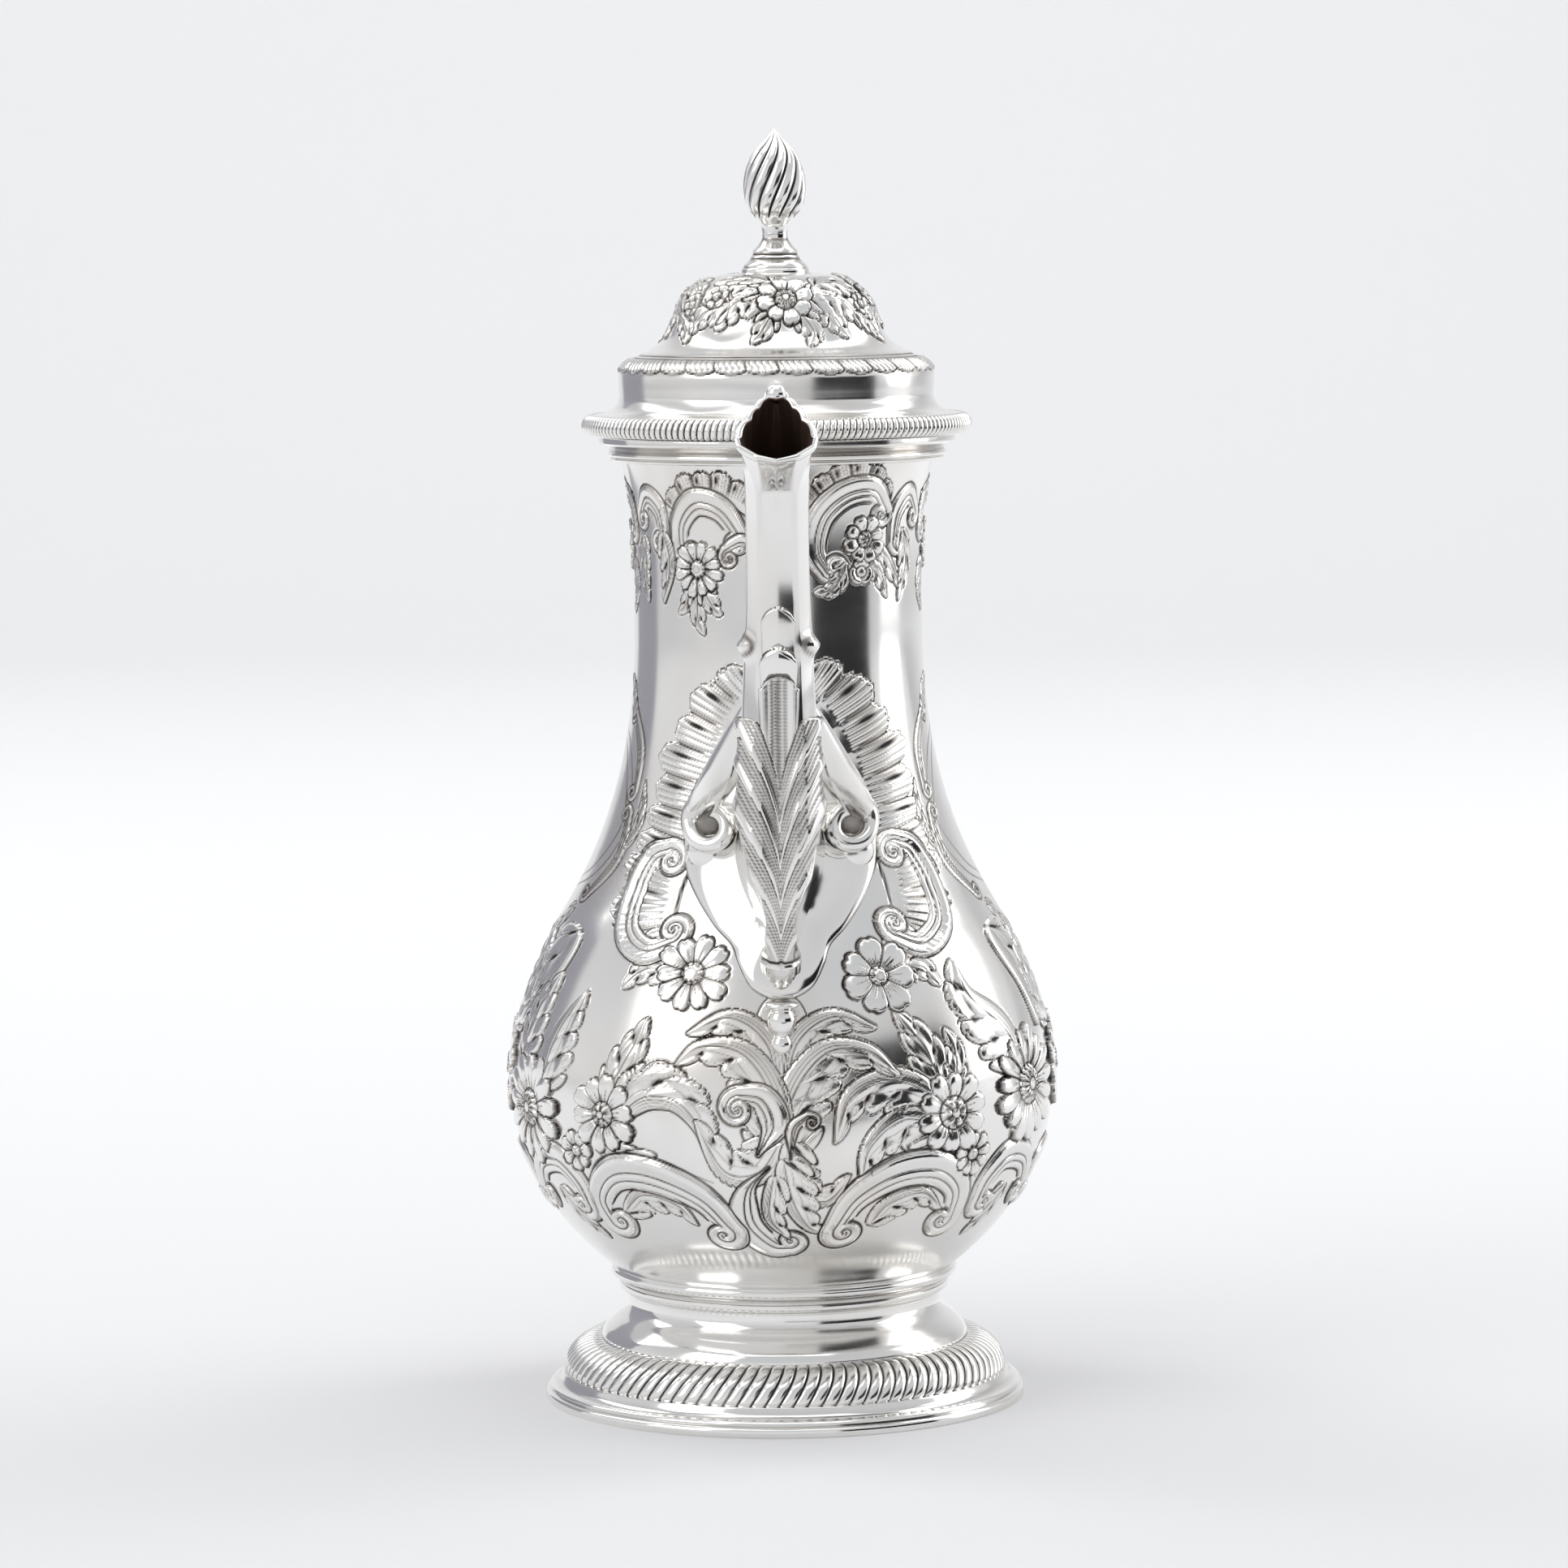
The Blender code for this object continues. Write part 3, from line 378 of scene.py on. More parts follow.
def make_grain_group():
    """Long grain and pores of a close dark hardwood."""
    number, colour = "NodeSocketFloat", "NodeSocketColor"
    group, entry, leave = add_group("hardwood_grain", (
        ("Light", colour, (0.10, 0.045, 0.022, 1)), ("Dark", colour, (0.012, 0.007, 0.005, 1)),
        ("Spacing", number, 260.0)), (("Colour", colour), ("Pores", number)))
    place = node(group, "ShaderNodeTexCoord")
    stretch = node(group, "ShaderNodeMapping", Vector=place.outputs["Object"],
                   Scale=(1.0, 0.5, 0.10))
    ring = node(group, "ShaderNodeTexNoise", Vector=stretch.outputs[0], Scale=entry.outputs["Spacing"],
                Detail=6.0, Roughness=0.65, Distortion=0.6)
    pore = node(group, "ShaderNodeTexNoise", Vector=stretch.outputs[0], Scale=1900.0, Detail=2.0)
    pores = node(group, "ShaderNodeMapRange", i0=pore.outputs[0], i1=0.56, i2=0.66, i3=0.0, i4=1.0)
    line = node(group, "ShaderNodeMapRange", i0=ring.outputs[0], i1=0.36, i2=0.66, i3=0.0, i4=1.0)
    mix = node(group, "ShaderNodeMix", (("data_type", "RGBA"),), i0=line.outputs[0],
               i6=entry.outputs["Dark"], i7=entry.outputs["Light"])
    group.links.new(mix.outputs[2], leave.inputs["Colour"])
    group.links.new(pores.outputs[0], leave.inputs["Pores"])
    return group


def silver(name, roughness=0.13, film=0.12, depth=1.0, wander=0.07, wave=0.00003,
           dark=(0.035, 0.033, 0.038, 1), warm=(0.64, 0.575, 0.49, 1), clean=(0.87, 0.862, 0.845, 1)):
    """Silver that is tarnished in its recesses, darkened as painted shade where a piece is marked for it,
    polished by hand and matted where marked.
    """
    made = bpy.data.materials.new(name)
    made.use_nodes = True
    tree = made.node_tree
    shader = tree.nodes["Principled BSDF"]
    shader.inputs["Metallic"].default_value = 1.0
    recess = node(tree, "ShaderNodeAttribute", (("attribute_name", "tarnish_and_shade"),))
    ground = node(tree, "ShaderNodeAttribute", (("attribute_name", "matting"),))
    matted = node(tree, "ShaderNodeGroup", (("node_tree", MATTING),), Mask=ground.outputs["Fac"],
                  Dots_per_metre=1500.0)
    pits = maths(tree, "MULTIPLY", matted.outputs["Pits"], 0.55)
    whole = maths(tree, "ADD", recess.outputs["Fac"], pits)
    skin = node(tree, "ShaderNodeGroup", (("node_tree", TARNISH_AND_SHADE),), Recess=whole, Depth=depth,
                Film=film, Clean=clean, Warm=warm, Dark=dark)
    polish = node(tree, "ShaderNodeGroup", (("node_tree", POLISH),), Roughness=roughness,
                  Wander=wander, Dullness=skin.outputs["Dullness"], Dull_roughness=0.55)
    tree.links.new(skin.outputs["Colour"], shader.inputs["Base Color"])
    tree.links.new(polish.outputs["Roughness"], shader.inputs["Roughness"])
    stipple = node(tree, "ShaderNodeBump", Height=matted.outputs["Height"], Distance=0.00012,
                   Strength=0.8)
    hammer = node(tree, "ShaderNodeBump", Height=polish.outputs["Height"], Distance=wave,
                  Strength=1.0, Normal=stipple.outputs[0])
    tree.links.new(hammer.outputs[0], shader.inputs["Normal"])
    return made


def ebony(name):
    """Close dark wood with open pores and the sheen of much handling."""
    made = bpy.data.materials.new(name)
    made.use_nodes = True
    tree = made.node_tree
    shader = tree.nodes["Principled BSDF"]
    shader.inputs["Coat Weight"].default_value = 0.25
    shader.inputs["Coat Roughness"].default_value = 0.2
    grain = node(tree, "ShaderNodeGroup", (("node_tree", GRAIN),))
    wear = node(tree, "ShaderNodeAttribute", (("attribute_name", "tarnish_and_shade"),))
    shade = node(tree, "ShaderNodeMix", (("data_type", "RGBA"),), i0=wear.outputs["Fac"],
                 i6=grain.outputs["Colour"], i7=(0.006, 0.004, 0.003, 1))
    tree.links.new(shade.outputs[2], shader.inputs["Base Color"])
    rough = maths(tree, "MULTIPLY", grain.outputs["Pores"], 0.25)
    rough = maths(tree, "ADD", rough, 0.32)
    tree.links.new(rough, shader.inputs["Roughness"])
    low = maths(tree, "SUBTRACT", 1.0, grain.outputs["Pores"])
    bump = node(tree, "ShaderNodeBump", Height=low, Distance=0.00006, Strength=0.5)
    tree.links.new(bump.outputs[0], shader.inputs["Normal"])
    return made


TARNISH_AND_SHADE = make_tarnish_and_shade_group()
POLISH = make_polish_group()
MATTING = make_matting_group()
GRAIN = make_grain_group()
CHASED = silver("chased_silver", roughness=0.15, film=0.45)
PLAIN = silver("polished_silver", roughness=0.10, film=0.32)
CAST = silver("cast_silver", roughness=0.15, film=0.25, depth=1.1)
INSIDE = silver("silver_inside", roughness=0.32, film=0.6, wander=0.2, clean=(0.72, 0.70, 0.66, 1))
STAINED = silver("coffee_stained_silver", roughness=0.42, film=0.9, clean=(0.36, 0.27, 0.22, 1),
                 warm=(0.20, 0.11, 0.075, 1), dark=(0.02, 0.012, 0.01, 1))
PIN_SILVER = silver("pin_silver", roughness=0.22, film=0.4)
TIMBER = ebony("ebonised_wood")


def finish(piece, material, body, slot, *nodes):
    """Give a piece its finish and its body, and hide the nodes that it stands in for; slot is not used."""
    piece.data.materials.clear()
    piece.data.materials.append(material)
    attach(piece, body)
    if nodes:
        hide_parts(*nodes)
    return piece


# ------------------------------------------------------------- the body's form
BODY_FOOT = 31.5            # heights on the body, in mm
SHOULDER = 118
CHASED_TOP = 224.4
MOUTH_TOP = 228.5
BODY_LINE = (               # height, radius, slope
    (BODY_FOOT, 40.0, 1.25), (75, 64.0, 0.0), (SHOULDER, 50.6, -0.60), (184, 33.9, 0.0),
    (MOUTH_TOP, 38.4, 0.35))
LENGTH_Z = np.linspace(BODY_FOOT, MOUTH_TOP, 800)
LENGTH_R = hermite(BODY_LINE, LENGTH_Z)
LENGTH_S = np.concatenate([[0], np.cumsum(np.hypot(np.diff(LENGTH_Z), np.diff(LENGTH_R)))])


def body_radius(z):
    """Radius of the body in mm at a height."""
    return hermite(BODY_LINE, z)


def body_length(z):
    """Length along the wall in mm from the body's foot to a height."""
    return np.interp(z, LENGTH_Z, LENGTH_S)


class Chasing:
    """Relief worked into a turned form: places are (degrees from the front, height)."""

    def __init__(self, degrees, heights, radius_at, length_at):
        self.degrees = degrees
        self.heights = heights
        self.radius_at = radius_at
        self.length_at = length_at
        self.radius = radius_at(heights)
        self.length = length_at(heights)
        shape = (len(heights), len(degrees))
        self.relief = np.zeros(shape)
        self.dark = np.zeros(shape)
        self.matted = np.zeros(shape)

    def patch(self, degree, height, reach):
        """The part of the form within reach, as slices and flat coordinates in mm."""
        centre = float(self.length_at(height))
        rows = np.nonzero(np.abs(self.length - centre) < reach)[0]
        if len(rows) < 2:
            return None
        small = max(float(self.radius[rows].min()), 4.0)
        wide = math.degrees(min(reach / small, 3.0))
        columns = np.nonzero(np.abs(self.degrees - degree) < wide)[0]
        if len(columns) < 2:
            return None
        window = (slice(rows[0], rows[-1] + 1), slice(columns[0], columns[-1] + 1))
        u = np.radians(self.degrees[window[1]] - degree)[None, :] * self.radius[window[0]][:, None]
        v = (self.length[window[0]] - centre)[:, None] + np.zeros_like(u)
        return window, u, v

    def flat(self, points, degree, height):
        p = np.array(points, dtype=float)
        u = np.radians(p[:, 0] - degree) * self.radius_at(p[:, 1])
        v = self.length_at(p[:, 1]) - float(self.length_at(height))
        return np.column_stack([u, v, *p[:, 2:].T])

    def lay(self, window, edge, rise, dark=0.0, matted=0.0, line=0.24, sink=0.13, over=0.0):
        """Lay a shape: edge is mm inside its outline, rise its relief, dark its lines."""
        mask = step(edge, -0.12, 0.22)
        border = bell(edge + 0.12, line)
        was = self.relief[window]
        self.relief[window] = was * (1 - mask) + (rise + over * was) * mask - sink * border
        was = self.dark[window]
        self.dark[window] = np.maximum(was * (1 - mask) + dark * mask, 0.92 * border)
        self.matted[window] = self.matted[window] * (1 - mask) + matted * mask

    def flower(self, degree, height, size, petals, lift=1.2, turn=0.0, heart=0.26, pearls=0,
               pointed=0.0, lines=5):
        found = self.patch(degree, height, size * 1.2)
        if found is None:
            return
        window, u, v = found
        far = np.hypot(u, v)
        angle = np.arctan2(v, u) + math.radians(turn)
        number = np.floor(angle * petals / math.tau)
        wave = (angle * petals / math.tau) % 1.0 * 2 - 1
        uneven = 1 + 0.055 * np.sin(number * 2.4 + degree)
        tip = np.clip(np.cos(wave * math.pi / 2), 0, 1) ** (0.42 + pointed)
        nick = 0.05 * bell(wave, 0.16) * (1 - pointed * 2)
        outline = size * uneven * (0.66 + 0.34 * tip - nick)
        edge = (outline - far) * 0.9
        share = far / outline
        half = far * math.pi / petals
        seam = (1 - np.abs(wave)) * half
        climb = 0.42 + 0.58 * np.sin(np.clip((share - heart) / (1 - heart), 0, 1) ** 1.15 * 2.25)
        cross = 0.80 + 0.20 * np.cos(wave * math.pi * 0.5) + 0.10 * np.sin(wave * 2.0)
        rise = lift * climb * cross
        outside = step(share, heart + 0.01, heart + 0.06)
        split = bell(seam, 0.18) * outside
        stripe = np.abs(np.sin(math.pi * lines * (wave + 1) / 2))
        length = 0.56 + 0.14 * np.sin(number * 5.1 + wave * 9.0)
        fine = bell(stripe * half / lines * 0.64, 0.10) * outside * (1 - step(share, length - 0.1, length))
        rise = rise - 0.26 * split - 0.07 * fine
        dark = np.clip(0.95 * split + 0.62 * fine, 0, 1)
        core = step(heart - share, -0.01, 0.05)
        dome = np.sqrt(np.clip(1 - (far / (heart * size)) ** 2, 0, 1))
        if pearls:
            ring = bell(far - 0.60 * heart * size, 0.30 * heart * size)
            bead = 0.5 + 0.5 * np.cos(angle * pearls)
            dome = 0.55 + 0.45 * ring * bead + 0.30 * bell(far, 0.3 * heart * size)
            pits = np.clip(1.15 * (1 - bead) * ring, 0, 1) + bell(far - 0.36 * heart * size, 0.16)
            inner_dark = np.clip(0.75 * pits, 0, 1)
        else:
            inner_dark = 0.30 * bell(far - 0.45 * heart * size, 0.25)
        rise = rise * (1 - core) + lift * (0.62 + 0.50 * dome) * core
        ringline = bell(far - (heart + 0.035) * size, 0.20)
        rise = rise - 0.22 * ringline
        dark = np.maximum(dark * (1 - core) + inner_dark * core, 0.95 * ringline)
        self.lay(window, edge, rise, dark)

    def near_path(self, points, reach):
        """The patch round a path, with the path laid out flat in it."""
        p = np.array(points, dtype=float)
        degree = float((p[:, 0].min() + p[:, 0].max()) / 2)
        height = float((p[:, 1].min() + p[:, 1].max()) / 2)
        flat = self.flat(p, degree, height)
        size = float(np.hypot(flat[:, 0], flat[:, 1]).max()) + reach
        found = self.patch(degree, height, size)
        if found is None:
            return None
        return (*found, flat)

    def nearest(self, u, v, curve):
        """Signed distance to the curve, share along it, its third number, and how far past its ends."""
        a, b = curve[:-1], curve[1:]
        gap = (b - a)[:, :2]
        size2 = np.maximum((gap**2).sum(axis=1), 1e-12)
        lengths = np.sqrt(size2)
        start = np.concatenate([[0], np.cumsum(lengths)[:-1]])
        best = np.full(u.shape, 1e9)
        signed, share, extra, past = (np.zeros(u.shape) for _ in range(4))
        for i in range(len(a)):
            du, dv = u - a[i, 0], v - a[i, 1]
            raw = (du * gap[i, 0] + dv * gap[i, 1]) / size2[i]
            t = np.clip(raw, 0, 1)
            eu, ev = du - t * gap[i, 0], dv - t * gap[i, 1]
            far = eu * eu + ev * ev
            better = far < best
            best = np.where(better, far, best)
            side = np.where(gap[i, 0] * dv - gap[i, 1] * du < 0, -1.0, 1.0)
            signed = np.where(better, side * np.sqrt(far), signed)
            share = np.where(better, start[i] + t * lengths[i], share)
            if curve.shape[1] > 2:
                extra = np.where(better, a[i, 2] + t * (b[i, 2] - a[i, 2]), extra)
            over = np.where(raw < 0, -raw, np.where(raw > 1, raw - 1, 0)) * lengths[i]
            past = np.where(better, over, past)
        total = float(lengths.sum())
        return signed, share / total, total, extra, past

    def scroll(self, points, width=2.0, lift=1.0, curls=(3.0, 3.0), inward=(1, 1), turns=1.15,
               thin=0.42, ribs=True):
        """A C or S scroll with a curl at either end; a curl of 0 leaves that end plain."""
        p = np.array(points, dtype=float)
        degree = float((p[:, 0].min() + p[:, 0].max()) / 2)
        height = float((p[:, 1].min() + p[:, 1].max()) / 2)
        curve = smooth_line(self.flat(p, degree, height), 6)[:, :2]
        run = np.diff(curve, axis=0)
        bend = (run[:-1, 0] * run[1:, 1] - run[:-1, 1] * run[1:, 0]).sum()
        bend = 1 if bend >= 0 else -1
        middle = len(curve)
        before, after = [], []
        for end, curl, inner in ((0, curls[0], inward[0]), (1, curls[1], inward[1])):
            if not curl:
                continue
            side = inner * bend * (1 if end else -1)
            tip = curve[-1] if end else curve[0]
            back = curve[-3] if end else curve[2]
            ahead = (tip - back) / max(np.linalg.norm(tip - back), 1e-9)
            across = np.array([-ahead[1], ahead[0]]) * side
            centre = tip + across * curl
            begin = math.atan2(*(tip - centre)[::-1])
            for k in range(1, 27):
                t = k / 26
                angle = begin + side * t * turns * math.tau
                r = curl * (1 - 0.84 * t ** 0.75)
                spot = centre + r * np.array([math.cos(angle), math.sin(angle)])
                (after if end else before).append(spot)
        parts = ([np.array(before)[::-1]] if before else []) + [curve]
        parts += [np.array(after)] if after else []
        whole = np.vstack(parts)
        number = np.arange(len(whole), dtype=float)
        along = np.clip((number - len(before)) / max(middle, 1), 0, 1)
        full = 0.72 + 0.42 * np.sin(along * np.pi)
        if before:
            part = np.clip(number / len(before), 0, 1)
            full = np.where(number < len(before), thin + (0.72 - thin) * part ** 0.8, full)
        else:
            full = full * np.where(along < 0.5, 0.15 + 0.85 * step(along, 0, 0.4), 1)
        if after:
            part = np.clip((number - len(before) - middle) / len(after), 0, 1)
            full = np.where(number >= len(before) + middle, 0.72 - (0.72 - thin) * part ** 0.8, full)
        else:
            full = full * np.where(along > 0.5, 0.15 + 0.85 * step(1 - along, 0, 0.4), 1)
        whole = np.column_stack([whole, full * width * 1.15])
        size = float(np.hypot(whole[:, 0], whole[:, 1]).max()) + width * 2
        found = self.patch(degree, height, size)
        if found is None:
            return
        window, u, v = found
        signed, share, total, half, past = self.nearest(u, v, whole)
        t = signed * bend / np.maximum(half, 0.2)
        edge = half - np.abs(signed)
        dome = np.sqrt(np.clip(1 - np.abs(t) ** 2.6, 0, 1))
        if ribs:
            outer = bell(t + 0.50, 0.36)
            rise = lift * (0.40 * dome + 0.55 * outer + 0.32 * bell(t - 0.30, 0.17)
                           + 0.26 * bell(t - 0.74, 0.15))
            dark = 0.85 * bell((t - 0.07) * half, 0.17) + 0.8 * bell((t - 0.52) * half, 0.16)
            dark = dark + 0.45 * bell((t + 0.80) * half, 0.12)
            rise = rise - 0.14 * dark
        else:
            rise = lift * dome
            dark = 0 * dome
        self.lay(window, edge, rise, np.clip(dark, 0, 1), over=0.2)

    def leaf(self, points, width=4.0, lift=1.1, lobes=5, side=0, slant=1.3, bite=0.36, rough=0.0,
             lines=True):
        """An acanthus leaf along a path. side 1 or -1 gives lobes on that side and a smooth back."""
        found = self.near_path(points, width * 1.7)
        if found is None:
            return
        window, u, v, flat = found
        curve = smooth_line(flat, 7)
        signed, share, total, extra, past = self.nearest(u, v, curve)
        form = np.sin(np.pi * np.clip(share, 0, 1) ** 0.72) ** 0.62
        form = form * (1 - 0.35 * share) + 0.10 * (1 - share)
        away = np.abs(signed)
        lobed = (np.sign(signed) == side) if side else np.ones(signed.shape, dtype=bool)
        lobes = max(2, round(lobes * 0.72))
        phase = lobes * share ** 0.9 - slant * 0.8 * away / max(width, 0.1)
        lobe = np.abs(np.sin(np.pi * phase))
        cut = (1 - bite) + bite * lobe ** 0.45
        span = 1.10 * width * form * np.where(lobed, cut * (1.25 if side else 1.0), 0.50 if side else 1.0)
        edge = span - away - past * 1.5
        t = np.clip(away / np.maximum(span, 0.15), 0, 1.2)
        tall = np.sqrt(np.clip(1 - t**3.0, 0, 1))
        swell = np.where(lobed, 0.70 + 0.30 * lobe ** 0.7, 0.85 + 0.15 * (1 - t))
        lean = np.where(lobed, 1.0 - 0.28 * bell(t - 0.38, 0.22), 1.0)
        rise = lift * (0.30 + 0.70 * tall) * swell * lean
        open_cut = np.where(lobed, bell(lobe * total / max(lobes, 1) * 0.32, 0.20), 0)
        open_cut = open_cut * step(t, 0.34, 0.5)
        comma = np.where(lobed, bell(lobe, 0.42) * bell(t - 0.50, 0.13), 0)
        grain = 0.0
        if lines:
            wobble = t + 0.05 * np.sin(share * 9)
            for place, size in ((0.28, 0.75), (0.52, 0.55), (0.76, 0.45)):
                strength = size * np.where(lobed, 0.75 if place < 0.5 else 0.30, 1.0)
                fade = step(share, 0.04, 0.2) * (1 - step(share, 0.70 - 0.25 * place, 0.95 - 0.3 * place))
                grain = grain + strength * bell((wobble - place) * span, 0.115) * fade
            comb = np.abs(np.sin(np.pi * phase * 3.0 + 0.8))
            fringe = np.where(lobed, bell(comb * total / max(lobes, 1) * 0.11, 0.10), 0)
            grain = grain + 0.55 * fringe * step(t, 0.50, 0.62) * (1 - step(t, 0.86, 0.97))
        rib = bell(signed, 0.17) * step(share, 0.0, 0.1) * (1 - step(share, 0.80, 0.95))
        rise = rise - 0.30 * open_cut - 0.30 * comma - 0.10 * rib - 0.07 * grain
        dark = np.clip(0.95 * open_cut + 0.95 * comma + 0.65 * rib + 0.72 * grain, 0, 1)
        self.lay(window, edge, rise, dark, matted=rough * (1 - t), over=0.12, line=0.19)

    def shell(self, points, lobes=6, ribs=6, lift=0.8, side=1):
        """A fluted, scalloped border; each point gives its own depth in mm as a third number."""
        found = self.near_path(points, float(np.array(points)[:, 2].max()) * 1.35)
        if found is None:
            return
        window, u, v, flat = found
        curve = smooth_line(flat, 7)
        signed, share, total, depth, past = self.nearest(u, v, curve)
        away = signed * side
        phase = lobes * share
        number = np.floor(phase)
        inside = phase % 1.0
        lobe = np.abs(np.sin(np.pi * phase))
        crinkle = 0.035 * np.cos(math.tau * phase * ribs / 2)
        uneven = 1 + 0.06 * np.sin(number * 2.7)
        span = depth * uneven * (0.76 + 0.24 * lobe ** 0.6 + 0.5 * crinkle)
        edge = np.minimum(span - away, away + 1.4) - past * 1.6
        t = np.clip(away / np.maximum(span, 0.2), 0, 1)
        tilt = 0.45 + 0.55 * np.sin(math.pi * (inside * 0.8 + 0.1))
        cup = 0.38 + 0.62 * np.sin(np.pi * (0.12 + 0.70 * t))
        rise = lift * cup * tilt
        rib = np.cos(math.tau * phase * ribs)
        flute = step(t, 0.06, 0.18) * (1 - step(t, 0.90, 0.97))
        rise = rise + 0.13 * lift * rib * flute
        gutter = bell(lobe * total / lobes * 0.32, 0.26) * step(t, 0.12, 0.4)
        rim = bell(span - away - 0.62, 0.20)
        rise = rise - 0.28 * gutter + 0.14 * rim
        low = step(-rib, 0.05, 0.8) * flute
        dots = 0.5 + 0.5 * np.cos(away * math.tau / 0.8)
        pool = bell(inside - 0.28, 0.09) * bell(t - 0.60, 0.20)
        dark = np.clip(0.75 * gutter + 0.42 * low * (0.25 + 0.75 * dots) + 0.8 * pool, 0, 1)
        self.lay(window, edge, rise, dark, line=0.24)

    def line(self, points, width=0.22, depth=0.08, dark=0.8):
        """A single engraved line."""
        found = self.near_path(points, 2.0)
        if found is None:
            return
        window, u, v, flat = found
        curve = smooth_line(flat, 7)
        signed, share, total, extra, past = self.nearest(u, v, curve)
        taper = np.clip(np.sin(np.pi * np.clip(share, 0.02, 0.98)), 0, 1) ** 0.3
        cut = bell(np.hypot(signed, past), width) * taper
        self.relief[window] -= depth * cut
        self.dark[window] = np.maximum(self.dark[window], dark * cut)


def chase_belly(work):
    """Flowers, acanthus and recumbent scrolls round the lower body."""
    # plumes and leaves far round the sides
    work.leaf([(64, 114), (71, 103), (73, 90)], 8.0, 1.0, 6, side=1)
    work.leaf([(-61, 114), (-67, 103), (-69, 88)], 8.0, 1.0, 6, side=-1)
    for side in (1, -1):
        work.leaf([(side * 84, 90), (side * 78, 100), (side * 80, 114)], 6.5, 1.0, 5)
    work.leaf([(-60, 79), (-56, 91), (-49, 102)], 6.4, 1.1, 5, side=-1)
    work.leaf([(-72, 82), (-67, 95), (-61, 105)], 6.5, 1.0, 5)
    work.leaf([(60, 84), (55, 92), (46, 100), (44, 109)], 8.5, 1.2, 6, side=1)
    # sprays beside the small flowers
    work.leaf([(-39, 79), (-34, 88), (-30, 97.5)], 5.2, 1.1, 4)
    work.leaf([(-35, 77), (-28, 84), (-20, 85)], 4.6, 1.0, 4)
    work.leaf([(-35, 75), (-29, 79.5), (-22, 79), (-17, 73), (-15.5, 65)], 6.0, 1.2, 6, side=1)
    work.leaf([(-44, 70), (-37, 66), (-27, 66)], 3.0, 0.8, 3)
    work.leaf([(35, 79), (31, 90), (25, 99)], 5.4, 1.1, 4)
    work.leaf([(38, 80), (39, 89), (37, 94)], 3.6, 0.9, 3)
    work.leaf([(34, 78), (24, 83), (14, 80), (10.5, 69)], 6.2, 1.3, 6, side=1)
    work.leaf([(34, 72), (25, 74), (18, 68), (16.5, 59)], 5.8, 1.2, 5, side=1)
    # acanthus under the beads
    work.leaf([(0, 103), (0, 84), (0.2, 58)], 6.5, 0.45, 1, bite=0.0, rough=1.0, lines=False)
    work.leaf([(1, 80), (3, 92), (11, 98), (21, 95)], 5.8, 0.9, 6, side=-1)
    work.leaf([(-1, 80), (-3, 92), (-11, 98), (-21, 94)], 5.8, 0.9, 6, side=1)
    work.leaf([(0.6, 66), (2, 80), (9, 90), (18, 90), (25, 84)], 7.2, 1.25, 7, side=-1)
    work.leaf([(-0.6, 66), (-2, 80), (-8, 90), (-17, 91.5), (-23, 87)], 7.2, 1.25, 7, side=1)
    work.leaf([(-0.5, 70), (-5, 63), (-12, 63), (-18, 75)], 6.2, 1.2, 6, side=-1)
    work.leaf([(1, 70), (2.5, 60), (9, 55.5), (14.5, 62)], 5.0, 1.1, 5, side=1)
    work.leaf([(0, 66), (2, 56), (6, 49), (11, 47.5)], 5.0, 1.0, 5, side=1)
    work.scroll([(-9, 81), (-4, 80), (-1.6, 74), (-5, 67)], 2.6, 1.2, (3.6, 0), (1, 1))
    work.scroll([(1.6, 66), (2.0, 73), (5, 76)], 1.0, 0.8, (0, 1.9), (1, 1))
    work.scroll([(-3, 64), (-8, 58), (-8.5, 50), (-3, 44), (2, 43.5)], 2.7, 1.1, (0, 2.5), (1, 1))
    work.leaf([(-2, 62), (-3, 52), (1.5, 46)], 3.4, 0.9, 4, side=1)
    # recumbent scrolls over the foot
    work.leaf([(-39, 51), (-32, 56), (-24, 54), (-20, 49)], 4.2, 0.8, 6, side=-1)
    work.leaf([(20, 49), (24, 54), (32, 56), (39, 51)], 4.2, 0.8, 6, side=-1)
    work.scroll([(-45, 47.5), (-45.5, 54), (-39, 60.5), (-29, 61), (-18, 56), (-11.5, 48)], 3.5, 1.35,
                (3.3, 3.2), (1, 1))
    work.scroll([(11.5, 48), (16, 56), (25, 61.5), (35, 61.5), (42, 56), (43.5, 48)], 3.5, 1.35,
                (3.2, 3.3), (1, 1))
    work.line([(-49, 56), (-42, 64), (-30, 65.5), (-15, 60)])
    work.line([(14, 60), (26, 66), (38, 65.5), (47, 58)])
    for side in (-1, 1):
        work.scroll([(side * 50, 51), (side * 51, 57), (side * 57, 62), (side * 66, 60), (side * 71, 53)],
                    3.0, 1.2, (3.0, 2.8), (1, 1))
    for side in (-1, 1):
        work.scroll([(side * 74, 51), (side * 77, 58), (side * 84, 60), (side * 90, 60)],
                    2.8, 1.1, (2.8, 0), (1, 1))
    work.leaf([(-60, 55), (-56, 48), (-50, 43)], 3.4, 0.7, 4)
    work.leaf([(60, 55), (57, 48), (52, 43)], 3.4, 0.7, 4)
    # flowers, the large ones last
    work.flower(-49, 65, 5.0, 7, 0.9, 20)
    work.flower(44, 64, 5.6, 9, 0.9, 10)
    for side in (-90, 90):
        work.flower(side, 80, 12.0, 12, 1.4, 0, pearls=14)
    work.flower(-66, 73, 13.2, 13, 1.5, 8, heart=0.30, pearls=14, pointed=0.20)
    work.flower(63, 78, 13.8, 15, 1.6, 5, heart=0.32, pearls=16, pointed=0.20)
    work.flower(-40, 74.5, 9.3, 10, 1.5, 12, heart=0.29, pearls=6)
    work.flower(37.5, 74.5, 9.8, 10, 1.6, 4, heart=0.36, pearls=6)


